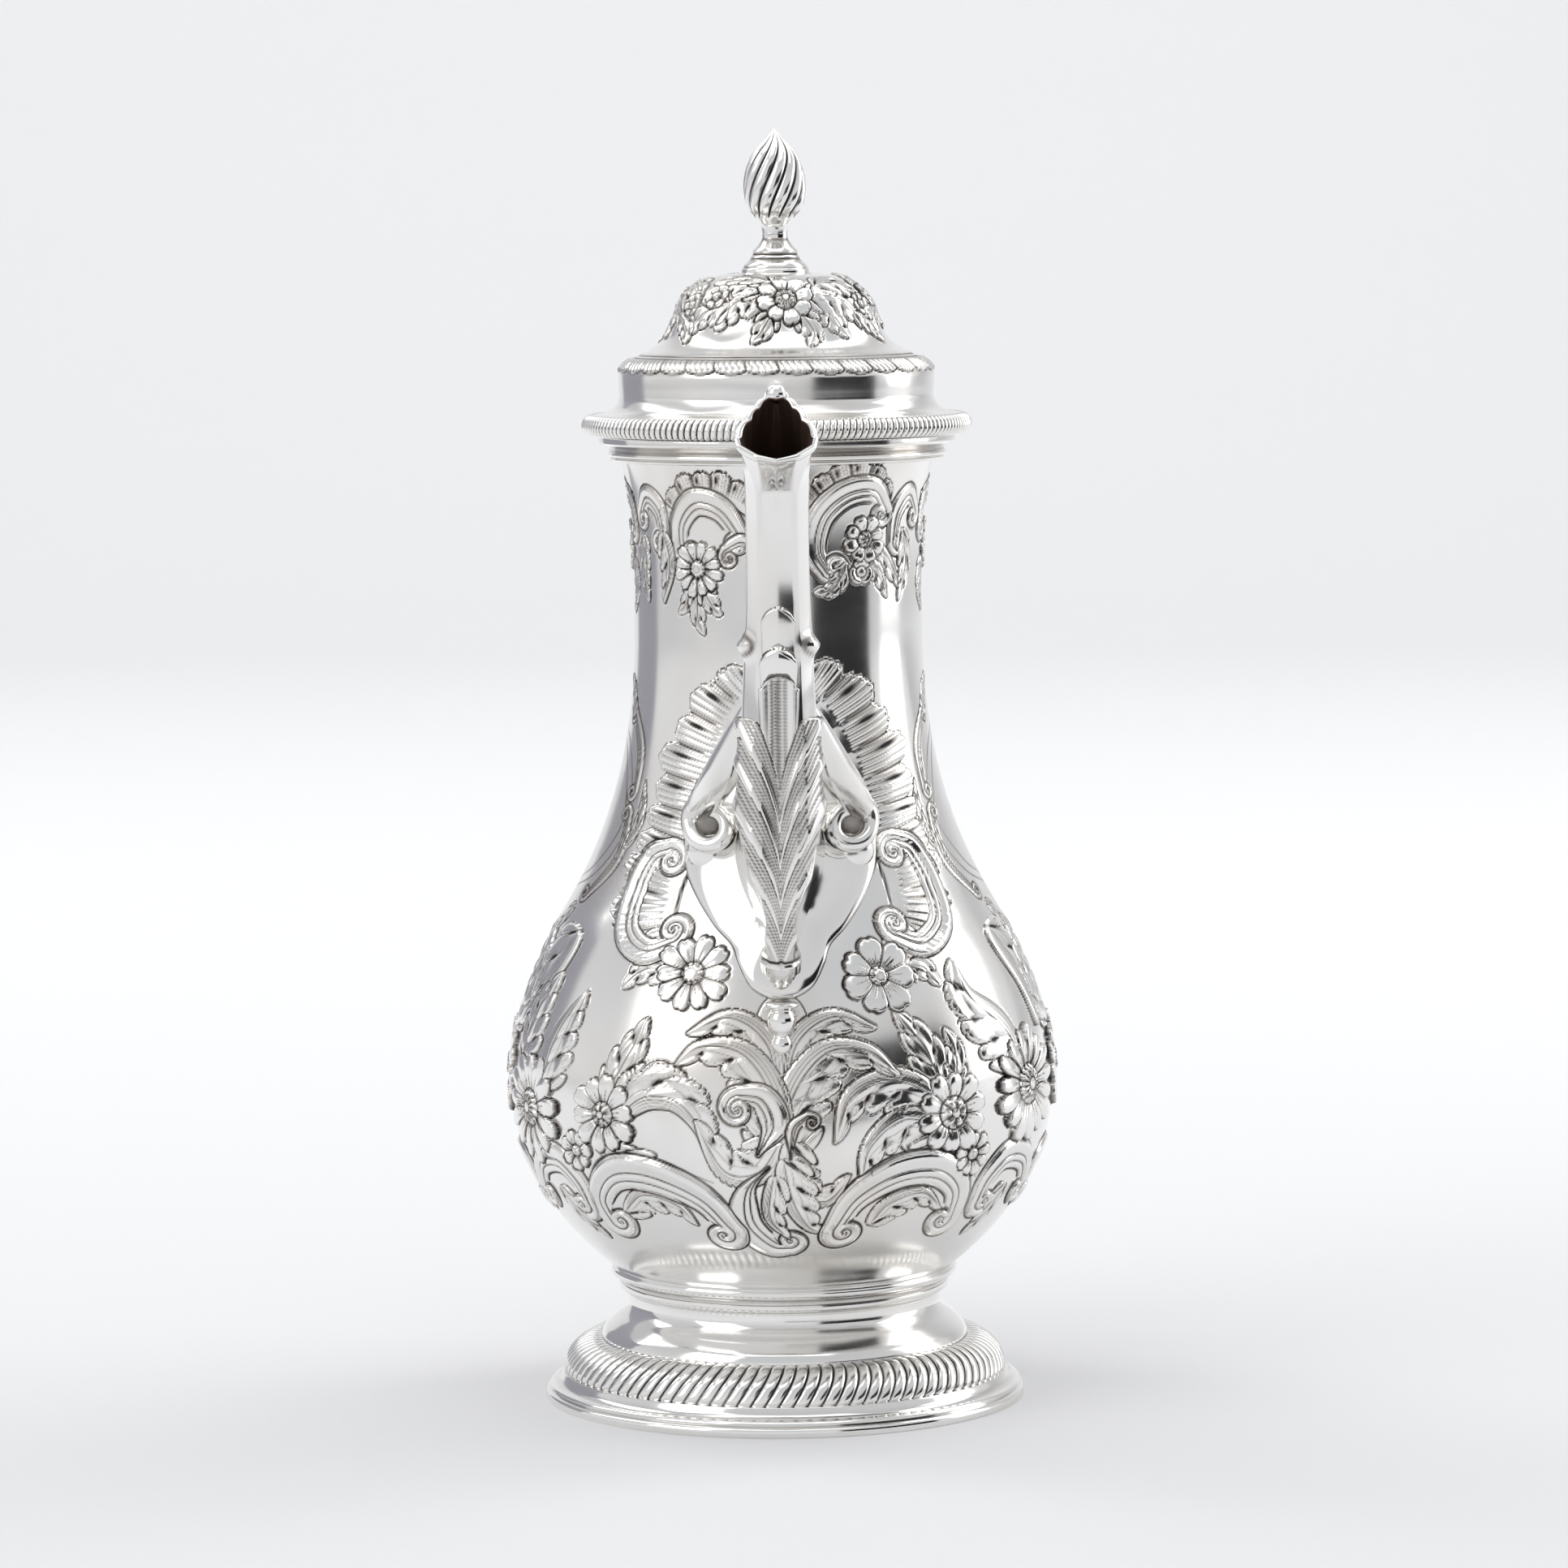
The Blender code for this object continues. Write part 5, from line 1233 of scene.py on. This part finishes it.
def make_spout():
    """The spout inside and out, and the curl on its lip."""
    outer, angle = spout_surface()
    away = np.abs(angle)[None, :]
    x, z = outer[:, :, 0], outer[:, :, 2]
    normals = surface_normals(outer)
    front = away < 75
    lift = np.zeros(x.shape)
    # a Y-shaped facet under the lip
    valley = bell(x / np.maximum(0.9 + (z - 219) * 0.42, 0.5), 0.9) * step(z, 213, 217) * front
    lift -= 0.35 * valley
    # the thickened rim of the mouth
    rows = np.arange(x.shape[0])[:, None]
    last = x.shape[0] - 1
    lift += 0.55 * bell(rows - (last - 2), 3.0)
    # a knob at each side, level with the top of the leaf
    knob = bell(np.hypot(z - 184.5, (away - 78) * 0.07), 1.9)
    lift += 1.7 * knob
    crease = bell(np.hypot(z - 184.5, (away - 78) * 0.07) - 2.3, 0.35)
    outer = outer + normals * lift[:, :, None]
    dark = np.clip(0.6 * crease + 0.5 * bell(rows - (last - 9), 2.0) * (away > 50), 0, 1)
    outer = np.concatenate([spout_root(outer[:1]), outer], axis=0)
    dark = np.concatenate([dark[:1] + 0.3, dark], axis=0)
    inner, _ = spout_surface(grow=-1.1)
    inner = np.concatenate([inner[::-1], spout_root(inner[:1])], axis=0)
    lip = outer[-1:] * 0.55 + inner[:1] * 0.45
    lip[:, :, 2] += 0.25
    sheet = np.concatenate([outer, lip, inner], axis=0)
    tarnish_and_shade = np.concatenate([dark, dark[-1:] * 0, 0.15 + 0 * inner[:, :, 0]], axis=0)
    tube = press("spout_tube", sheet, joined=True, tarnish_and_shade=tarnish_and_shade)
    tube.data.materials.clear()
    finish(tube, PLAIN, "pot", "silver", "spout_tube", "spout_neck")
    tube.data.materials.append(STAINED)
    edge_row = outer.shape[0] + 1
    columns = len(angle) - 1
    inside = np.zeros(len(tube.data.polygons), dtype=np.int32)
    inside[edge_row * columns:] = 1
    tube.data.polygons.foreach_set("material_index", inside)
    curl = ball("spout_lip_curl", (0, -95.4, 240.9), 2.3, 1.0)
    roll = drawn_wire("lip_roll", [(-2.6, -95.6, 239.6), (-1.6, -95.0, 241.6), (0, -94.2, 242.6),
                                   (1.6, -95.0, 241.6), (2.6, -95.6, 239.6)], 0.8,
                      [0.6, 1.0, 1.2, 1.0, 0.6])
    curl = joined("spout_lip_curl", [curl, roll])
    recesses(curl, 1.0)
    finish(curl, CAST, "pot", "silver", "spout_neck")


# rows of the leaf: where its lower rib meets the middle, the height of its tip, the tip's roundness
LEAF_ROWS = ((151.0, 178.2, 4.2), (142.0, 168.6, 2.2), (133.5, 164.0, 2.0), (124.5, 158.8, 2.2),
             (117.0, 147.8, 2.2), (108.0, 139.8, 2.4))


def make_leaf():
    """The feathered leaf that caps the front of the spout, and the husks above it."""
    surface, angle = spout_surface(rows=520, columns=600, grow=0.0)
    front = np.abs(angle) <= 104
    part = surface[:, front]
    angle = angle[front]
    middle = len(angle) // 2
    rows = (part[:, middle, 2] > 107.0) & (part[:, middle, 2] < 203)
    part = part[rows]
    x, z = part[:, :, 0], part[:, :, 2]
    away = np.abs(x)
    normals = surface_normals(part)
    rib_foot = z - 3.4 * away
    for _ in range(8):
        slope = np.interp(rib_foot, [108, 114, 122.7, 130.6, 138, 149, 152],
                          [2.9, 2.9, 2.95, 3.2, 3.3, 3.5, 3.7])
        rib_foot = z - 5.0 * slope * (away / 5.0) ** 0.66
    edge = np.full(x.shape, -9.0)
    across = np.zeros(x.shape)
    for k, (foot, tip, roundness) in enumerate(LEAF_ROWS):
        top = 400.0 if k == 0 else LEAF_ROWS[k - 1][0]
        inside = (rib_foot >= (foot if k < len(LEAF_ROWS) - 1 else 0.0)) & (rib_foot < top)
        t = away / 4.0 if k == 0 else 1 - 2 * (rib_foot - foot) / (top - foot)
        t = np.clip(t, -1, 1)
        reach = tip - roundness * (1 - np.sqrt(np.clip(1 - t**2, 0, 1))) - z
        if k == 0:
            reach = np.minimum(reach, 4.0 - away)
        edge = np.where(inside, reach, edge)
        across = np.where(inside, t, across)
    side = np.interp(z, [107.5, 110.5, 113.5, 117, 123, 130, 137, 143, 150],
                     [3.2, 3.9, 3.4, 2.6, 2.9, 4.6, 6.8, 8.6, 13])
    edge = np.minimum(edge, side - away)
    stalk = 1 - step(z, 114.5, 122)
    mask = step(edge, -0.1, 0.25)
    rib = bell(across - 0.74, 0.30)
    trough = 1 - step(across, 0.30, 0.55)
    form = 0.85 + 0.50 * rib * (1 - 0.6 * stalk) + 0.25 * across
    form = form + 1.3 * step(z, 160, 178) * (rib_foot > LEAF_ROWS[0][0])
    rows_of_dots = 0.5 + 0.5 * np.cos(np.pi * 5.0 * across)
    dashes = 0.5 + 0.5 * np.cos(z * math.tau / 0.78)
    texture = trough * (0.30 + 0.70 * rows_of_dots) * (0.35 + 0.65 * dashes) * step(edge, 0.15, 0.6)
    gutter = bell(across + 0.97, 0.09) * (away > 0.6)
    knob = step(1.9 - np.abs(z - 110.4), 0.0, 0.7) * (away < 5)
    form = (form - 0.22 * texture - 0.25 * gutter) * (1 - knob) + 1.9 * knob
    lip = bell(edge - 0.35, 0.35) * (1 - knob)
    lift = mask * (form + 0.15 * lip) - 0.5 * (1 - mask)
    dark = 0.55 * texture + 0.70 * gutter + 0.80 * bell(edge - 0.02, 0.20)
    dark = np.maximum(dark, 0.9 * bell(z - 112.6, 0.35) * (away < 5) * mask)
    dark = np.clip(dark * (1 - 0.8 * knob), 0, 1)
    points = part + normals * lift[:, :, None]
    low = part[:, middle, 2] < 180
    piece = press("spout_leaf", points[low][:, ::2], tarnish_and_shade=dark[low][:, ::2])
    finish(piece, CAST, "pot", "silver", "spout_leaf")

    # two husks, one rising out of the other
    lift = np.full(x.shape, -0.5)
    dark = np.zeros(x.shape)
    for low, high, wide, proud in ((178.0, 193.5, 3.9, 1.5), (171.0, 184.3, 4.2, 2.7)):
        v = (z - low) / (high - low)
        crown = np.clip(z - (high - wide), 0, wide)
        half = np.sqrt(wide**2 - crown**2)
        edge = np.where((v > 0) & (v < 1), half - away, -1.0)
        mask = step(edge, -0.1, 0.35)
        t = np.clip(away / np.maximum(half, 0.2), 0, 1)
        form = proud * (0.40 + 0.60 * np.sqrt(1 - t**2)) * step(v, 0.15, 0.95)
        lift = lift * (1 - mask) + form * mask
        dark = np.maximum(dark * (1 - mask), 0.95 * bell(edge, 0.28) * (v > -0.1))
    points = part + normals * lift[:, :, None]
    tall = (part[:, middle, 2] > 173) & (part[:, middle, 2] < 197)
    wide = np.abs(angle) < 60
    piece = press("spout_husks", points[tall][:, wide][:, ::2], tarnish_and_shade=dark[tall][:, wide][:, ::2])
    finish(piece, PLAIN, "pot", "silver", "spout_husks")


def on_body(x, z, lift):
    """The points that stand lift mm proud of the body's front at x and z."""
    radius = body_radius(z) + lift
    return np.stack([x, -np.sqrt(np.maximum(radius**2 - x**2, 1.0)), z + 0 * x], axis=-1)


def make_escutcheon():
    """The smooth plate behind the spout, swelling up to meet it."""
    right = smooth_line([(0, 176), (5.0, 173.5), (9.0, 166.5), (14.5, 158), (19.5, 150), (22.0, 142.5),
                         (22.6, 135), (21.8, 129), (19.0, 123), (15.2, 117.5), (11.4, 113.5), (10.0, 109.5),
                         (7.4, 104.8), (3.6, 102.3), (0, 101.6)], 8)
    left = (right * [-1, 1])[::-1][1:]
    rim = np.vstack([right, left])
    middle = np.array([0.0, 133.0])
    hole = middle + (rim - middle) * [0.30, 0.42]
    shares = np.linspace(0, 1, 46)[:, None, None]
    flat = hole[None] * (1 - shares) + rim[None] * shares
    x, z = flat[:, :, 0], flat[:, :, 1]
    share = shares[:, :, 0]
    lift = 2.0 * np.sqrt(np.clip(1 - share**7, 0, 1)) + 4.6 * (1 - share) ** 2.0 - 0.05
    points = on_body(x, z, lift)
    dark = np.broadcast_to(0.55 * bell(1 - share, 0.03), x.shape)
    piece = press("spout_escutcheon", points[:, ::-1], joined=True, tarnish_and_shade=dark[:, ::-1])
    finish(piece, PLAIN, "pot", "silver", "spout_escutcheon")


def make_volutes():
    """A scroll at each side of the spout's root, rolled over a bowl, with a convex disc in its ring
    darkened evenly as painted shade for a hollow.
    """
    for name, side in (("spout_volute_left", -1), ("spout_volute_right", 1)):
        cx, cz = 16.3, 140.4
        path = [(6.8, -71.5, 170.0), (8.2, -67.0, 164.0), (10.8, -61.5, 157.5), (14.4, -57.0, 151.5)]
        radii = [1.6, 3.6, 4.6, 4.2]
        for k in range(18):
            t = k / 17
            angle = math.radians(62 - 330 * t)
            r = 4.5 - 1.0 * t**3
            x, z = cx + r * math.cos(angle), cz + r * math.sin(angle)
            y = float(on_body(np.array(x), np.array(z), 5.4 + 1.8 * t)[1])
            path.append((x, y, z))
            radii.append(2.15 - 0.35 * t if k > 2 else 3.4 - 0.4 * k)
        wire = drawn_wire(name, [(x * side, y, z) for x, y, z in path], 1.0, radii)
        bowl_y = float(on_body(np.array(cx), np.array(cz), 2.2)[1])
        # Painted shade: this convex disc is marked evenly dark to stand in for the shaded hollow inside the
        # scroll.
        hollow = ball(f"{name}_painted_shade_disc", (cx * side, bowl_y - 1.6, cz), 4.2, 0.45)
        mark(hollow, "tarnish_and_shade", np.full(len(hollow.data.vertices), 0.42))
        finish(hollow, CAST, "pot", "silver", name)
        parts = [wire,
                 ball(f"{name}_bowl", (15.6 * side, bowl_y + 0.6, 134.2), 6.2, 0.8)]
        piece = joined(name, parts)
        recesses(piece, 0.9)
        finish(piece, CAST, "pot", "silver", name)


def make_drop():
    """The turned beads under the spout."""
    outline = rounded([(0.02, 101.8), (3.2, 101.8), (3.9, 101.4), (3.9, 100.9), (3.0, 100.4), (2.5, 100.0),
                       (2.9, 99.3), (3.25, 98.2), (3.25, 97.0), (2.8, 95.6), (1.9, 94.6), (1.75, 94.1),
                       (2.1, 93.5), (2.45, 92.4), (2.3, 91.2), (1.6, 90.2), (0.8, 89.7), (0.02, 89.6)], 4)
    piece = turned("spout_drop", outline, 40, close=False)
    edit(piece)
    bpy.ops.transform.translate(value=(0, -(float(body_radius(97.0)) + 2.0) * MM, 0))
    bpy.ops.object.mode_set(mode="OBJECT")
    recesses(piece, 1.6)
    finish(piece, PLAIN, "pot", "silver", "spout_drop")


# ---------------------------------------------------------------------- handle
def sweep(name, path, radii, squash=1.0, sides=40):
    """A carved bar: rings of its own radius along a path in the plane X = 0."""
    path = np.array(path, dtype=float)
    radii = np.array(radii, dtype=float)
    slope = np.gradient(path, axis=0)
    slope /= np.linalg.norm(slope, axis=1)[:, None]
    up = np.column_stack([slope[:, 1], -slope[:, 0]])
    turn = np.linspace(0, math.tau, sides + 1)
    x = radii[:, None] * np.cos(turn)[None, :] * squash
    rise = radii[:, None] * np.sin(turn)[None, :]
    y = path[:, :1] + up[:, :1] * rise
    z = path[:, 1:] + up[:, 1:] * rise
    return np.stack([x, y, z], axis=2)


def make_handle():
    """The wooden scroll and the two silver sockets that it is pinned into."""
    line = smooth_line([(48.5, 208.9), (52.0, 209.5), (57.0, 212.5), (66.0, 217.6), (78.0, 218.6),
                        (91.0, 213.5), (101.0, 202.5), (105.4, 188.0), (104.6, 172.0), (100.8, 157.0),
                        (95.6, 143.0), (90.4, 129.0), (86.4, 118.0), (83.5, 110.5), (80.6, 104.4),
                        (77.8, 100.6), (74.5, 98.4)], 8)
    share = np.linspace(0, 1, len(line))
    radii = 6.2 + 0.35 * np.sin(np.pi * share)
    radii = radii - 0.6 * bell(share - 0.03, 0.05) - 0.6 * bell(share - 0.97, 0.05)
    bar = sweep("handle_grip", line, radii)
    first = np.repeat(bar[:1].mean(axis=1, keepdims=True), bar.shape[1], axis=1)
    last = np.repeat(bar[-1:].mean(axis=1, keepdims=True), bar.shape[1], axis=1)
    grip = press("handle_grip", np.concatenate([first, bar, last], axis=0), joined=True)

    # thumb scroll on top and a curled spur below, carved in the same wood
    spurs = []
    thumb = [(86.0, 216.5), (92.0, 220.8), (97.5, 222.5), (101.5, 220.0), (101.5, 215.5), (98.0, 214.0)]
    tail = [(87.5, 120.0), (92.5, 113.5), (95.6, 106.5), (93.6, 101.2), (89.4, 100.4), (87.8, 103.4)]
    for label, path, sizes in (("thumb", thumb, (4.6, 3.8, 3.0, 2.6, 2.3, 2.0)),
                               ("tail", tail, (4.8, 3.9, 3.2, 2.8, 2.4, 2.0))):
        points = [(0, y, z) for y, z in path]
        wire = drawn_wire(f"handle_{label}", points, 1.0, sizes)
        spurs.append(wire)
    grip = joined("handle_grip_carved", [grip] + spurs)
    mark(grip, "tarnish_and_shade", np.zeros(len(grip.data.vertices)))
    finish(grip, TIMBER, "pot", "ebonised_wood", "handle_grip")

    for place, height, rise in (("upper", 206.0, 0.18), ("lower", 90.0, 0.62)):
        direction = np.array([1.0, rise]) / math.hypot(1.0, rise)
        root = np.array([float(body_radius(height)) + 0.3, height])
        stations = [(0.3, 10.6), (0.9, 10.4), (1.6, 9.4), (3.0, 8.5), (5.0, 7.9), (8.0, 7.6), (10.6, 7.5),
                    (11.2, 7.9), (11.8, 8.5), (12.5, 8.65), (13.1, 8.2), (13.5, 7.8), (14.0, 8.1),
                    (14.6, 8.3), (15.0, 8.1), (15.2, 7.4), (15.2, 6.6), (14.2, 6.4), (6.0, 6.4)]
        turn = np.linspace(0, math.tau, 65)
        up = np.array([direction[1], -direction[0]])
        rings = []
        for along, radius in stations:
            centre = root + direction * along
            y = centre[0] + up[0] * radius * np.sin(turn)
            z = centre[1] + up[1] * radius * np.sin(turn)
            x = radius * np.cos(turn)
            if along < 4.0:
                surface = np.sqrt(np.maximum(body_radius(z) ** 2 - x**2, 0))
                blend = 1 - along / 4.0
                y = y * (1 - blend) + (surface + along + 0.1) * blend
            rings.append(np.stack([x, y, z], axis=1))
        piece = press(f"handle_{place}_socket", np.array(rings), joined=True)
        recesses(piece, 1.6)
        finish(piece, CAST, "pot", "silver", f"handle_{place}_socket")


def finish_cad_nodes():
    """Finishes for the small fittings that are kept as they were built."""
    for name, material in (("handle_upper_pin", PIN_SILVER), ("handle_lower_pin", PIN_SILVER),
                           ("hinge_body_leaf", CAST), ("hinge_lid_leaf", CAST), ("hinge_pin", PIN_SILVER),
                           ("finial_screw", PIN_SILVER), ("finial_washer", INSIDE), ("finial_nut", INSIDE)):
        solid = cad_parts[name]
        if not solid.material_slots:
            solid.data.materials.append(material)
        for slot in solid.material_slots:
            slot.material = material


# ----------------------------------------------------------------------- stage
DARK_CARD = 0.012


def hide_card(card, shade):
    """Cover a card with cloth and leave it to the reflections only."""
    cloth = bpy.data.materials.new(f"{card.name}_cloth")
    cloth.use_nodes = True
    shader = cloth.node_tree.nodes["Principled BSDF"]
    shader.inputs["Base Color"].default_value = (shade, shade, shade * 1.1, 1)
    shader.inputs["Roughness"].default_value = 1.0
    shader.inputs["Specular IOR Level"].default_value = 0.0
    card.data.materials.append(cloth)
    card.visible_camera = False
    card.visible_shadow = False
    card.visible_diffuse = False


def make_stage():
    """Paper sweep, cards, lamps, room and camera."""
    deselect()
    bpy.ops.mesh.primitive_plane_add(size=1, location=(0, 0, 0))
    floor = bpy.context.object
    floor.name = "paper_sweep"
    edit(floor)
    bpy.ops.transform.resize(value=(9.0, 6.0, 1.0))
    bpy.ops.transform.translate(value=(0, -0.6, 0))
    bpy.ops.object.mode_set(mode="OBJECT")
    mesh = floor.data
    deselect()
    edit(floor)
    bpy.ops.mesh.select_all(action="DESELECT")
    bpy.ops.object.mode_set(mode="OBJECT")
    for vert in mesh.vertices:
        vert.select = vert.co.y > 1.0
    for line in mesh.edges:
        line.select = all(mesh.vertices[i].co.y > 1.0 for i in line.vertices)
    bpy.context.view_layer.objects.active = floor
    bpy.ops.object.mode_set(mode="EDIT")
    bpy.ops.mesh.select_mode(type="EDGE")
    for k in range(10):
        a = math.radians(9 * (k + 0.5))
        bpy.ops.mesh.extrude_region_move(
            TRANSFORM_OT_translate={"value": (0, 0.20 * math.cos(a), 0.20 * math.sin(a))})
    bpy.ops.mesh.extrude_region_move(TRANSFORM_OT_translate={"value": (0, 0, 3.5)})
    bpy.ops.mesh.select_mode(type="VERT")
    bpy.ops.object.mode_set(mode="OBJECT")
    bpy.ops.object.shade_smooth()
    paper = bpy.data.materials.new("white_paper")
    paper.use_nodes = True
    shader = paper.node_tree.nodes["Principled BSDF"]
    shader.inputs["Base Color"].default_value = (0.75, 0.75, 0.755, 1)
    shader.inputs["Roughness"].default_value = 0.9
    shader.inputs["Specular IOR Level"].default_value = 0.1
    floor.data.materials.append(paper)

    # a grey card behind at the left and a dark one to the right, seen only in reflections
    for name, low, high, bottom, top, reach, shade in (
            ("flag_left", -150, -112, 0.0, 0.7, 1.3, 0.30),
            ("flag_right", 26, 76, 0.0, 0.46, 1.15, DARK_CARD)):
        angles = np.radians(np.linspace(low, high, 16))
        rows = [[(reach * math.sin(a), -reach * math.cos(a), z) for a in angles] for z in (bottom, top)]
        hide_card(press(name, np.array(rows) / MM), shade)
    # a dark card lying in front, for the shadows in the foot and the plate of the spout
    rows = [[(5.0, -690.0, 3.0), (330.0, -690.0, 3.0)], [(5.0, -400.0, 3.0), (330.0, -400.0, 3.0)]]
    hide_card(press("flag_front", np.array(rows)), DARK_CARD)

    for name, place, aim, size, power in (
            ("key_left", (-1.5, -1.1, 1.25), (0, 0, 0.15), (1.2, 1.5), 9.5),
            ("side_right", (1.9, 0.35, 0.8), (0, 0, 0.15), (0.9, 1.5), 8),
            ("top", (0.0, -0.3, 2.1), (0, 0, 0.1), (1.8, 1.8), 9),
            ("backdrop_left", (-1.3, 1.0, 1.9), (0, 2.6, 0.6), (1.5, 1.5), 21),
            ("backdrop_right", (1.3, 1.0, 1.9), (0, 2.6, 0.6), (1.5, 1.5), 21)):
        lamp = bpy.data.lights.new(name, "AREA")
        lamp.shape = "RECTANGLE"
        lamp.size, lamp.size_y = size
        lamp.energy = power
        holder = bpy.data.objects.new(name, lamp)
        holder.location = place
        holder.rotation_euler = (Vector(aim) - Vector(place)).to_track_quat("-Z", "Y").to_euler()
        bpy.context.scene.collection.objects.link(holder)

    world = bpy.data.worlds.new("studio")
    world.use_nodes = True
    tree = world.node_tree
    sky = tree.nodes["Background"]
    place = node(tree, "ShaderNodeTexCoord")
    split = node(tree, "ShaderNodeSeparateXYZ", i0=place.outputs["Generated"])
    rise = node(tree, "ShaderNodeMapRange", (("interpolation_type", "SMOOTHSTEP"),), i0=split.outputs[2],
                i1=-0.05, i2=0.75, i3=0.0, i4=1.0)
    room = node(tree, "ShaderNodeMix", (("data_type", "RGBA"),), i0=rise.outputs[0],
                i6=(0.80, 0.80, 0.81, 1), i7=(0.62, 0.63, 0.65, 1))
    ray = node(tree, "ShaderNodeLightPath")
    shown = node(tree, "ShaderNodeMix", (("data_type", "RGBA"),), i0=ray.outputs["Is Camera Ray"],
                 i6=room.outputs[2], i7=(0.88, 0.885, 0.89, 1))
    tree.links.new(shown.outputs[2], sky.inputs["Color"])
    sky.inputs["Strength"].default_value = 1.0
    bpy.context.scene.world = world
    bpy.context.scene.view_settings.view_transform = "Standard"

    view = bpy.data.cameras.new("camera")
    view.lens = 140
    view.sensor_width = 36
    view.clip_start = 0.05
    view.clip_end = 30
    camera = bpy.data.objects.new("camera", view)
    turn = Matrix.Rotation(math.radians(90 - 5.43), 4, "X") @ Matrix.Rotation(math.radians(-0.5), 4, "Z")
    camera.matrix_world = Matrix.Translation((0.001, -1.437, 0.2823)) @ turn
    bpy.context.scene.collection.objects.link(camera)
    bpy.context.scene.camera = camera


make_stage()
make_body()
make_lining()
make_plain_turnings()
make_gadroons("foot_gadroon_border", ((43.6, 14.3), (45.2, 14.2), (47.2, 13.6), (49.3, 12.4), (51.0, 10.8),
                                      (52.0, 8.9), (52.4, 7.4), (52.2, 6.5), (51.4, 6.3)),
              100, 12, 1.6, -0.35, 0.9, "pot", 5, "foot_gadroon_border")
make_gadroons("lid_gadroon_border", ((42.9, 233.1), (44.0, 233.3), (45.0, 232.7), (45.6, 231.6),
                                     (45.7, 230.6), (45.3, 229.6), (44.4, 228.9), (42.9, 228.8)),
              176, 8, 0.9, 0.0, 0.6, "lid", 4, "lid_gadroon_border")
make_lid()
make_finial()
make_spout()
make_leaf()
make_escutcheon()
make_volutes()
make_drop()
make_handle()
finish_cad_nodes()
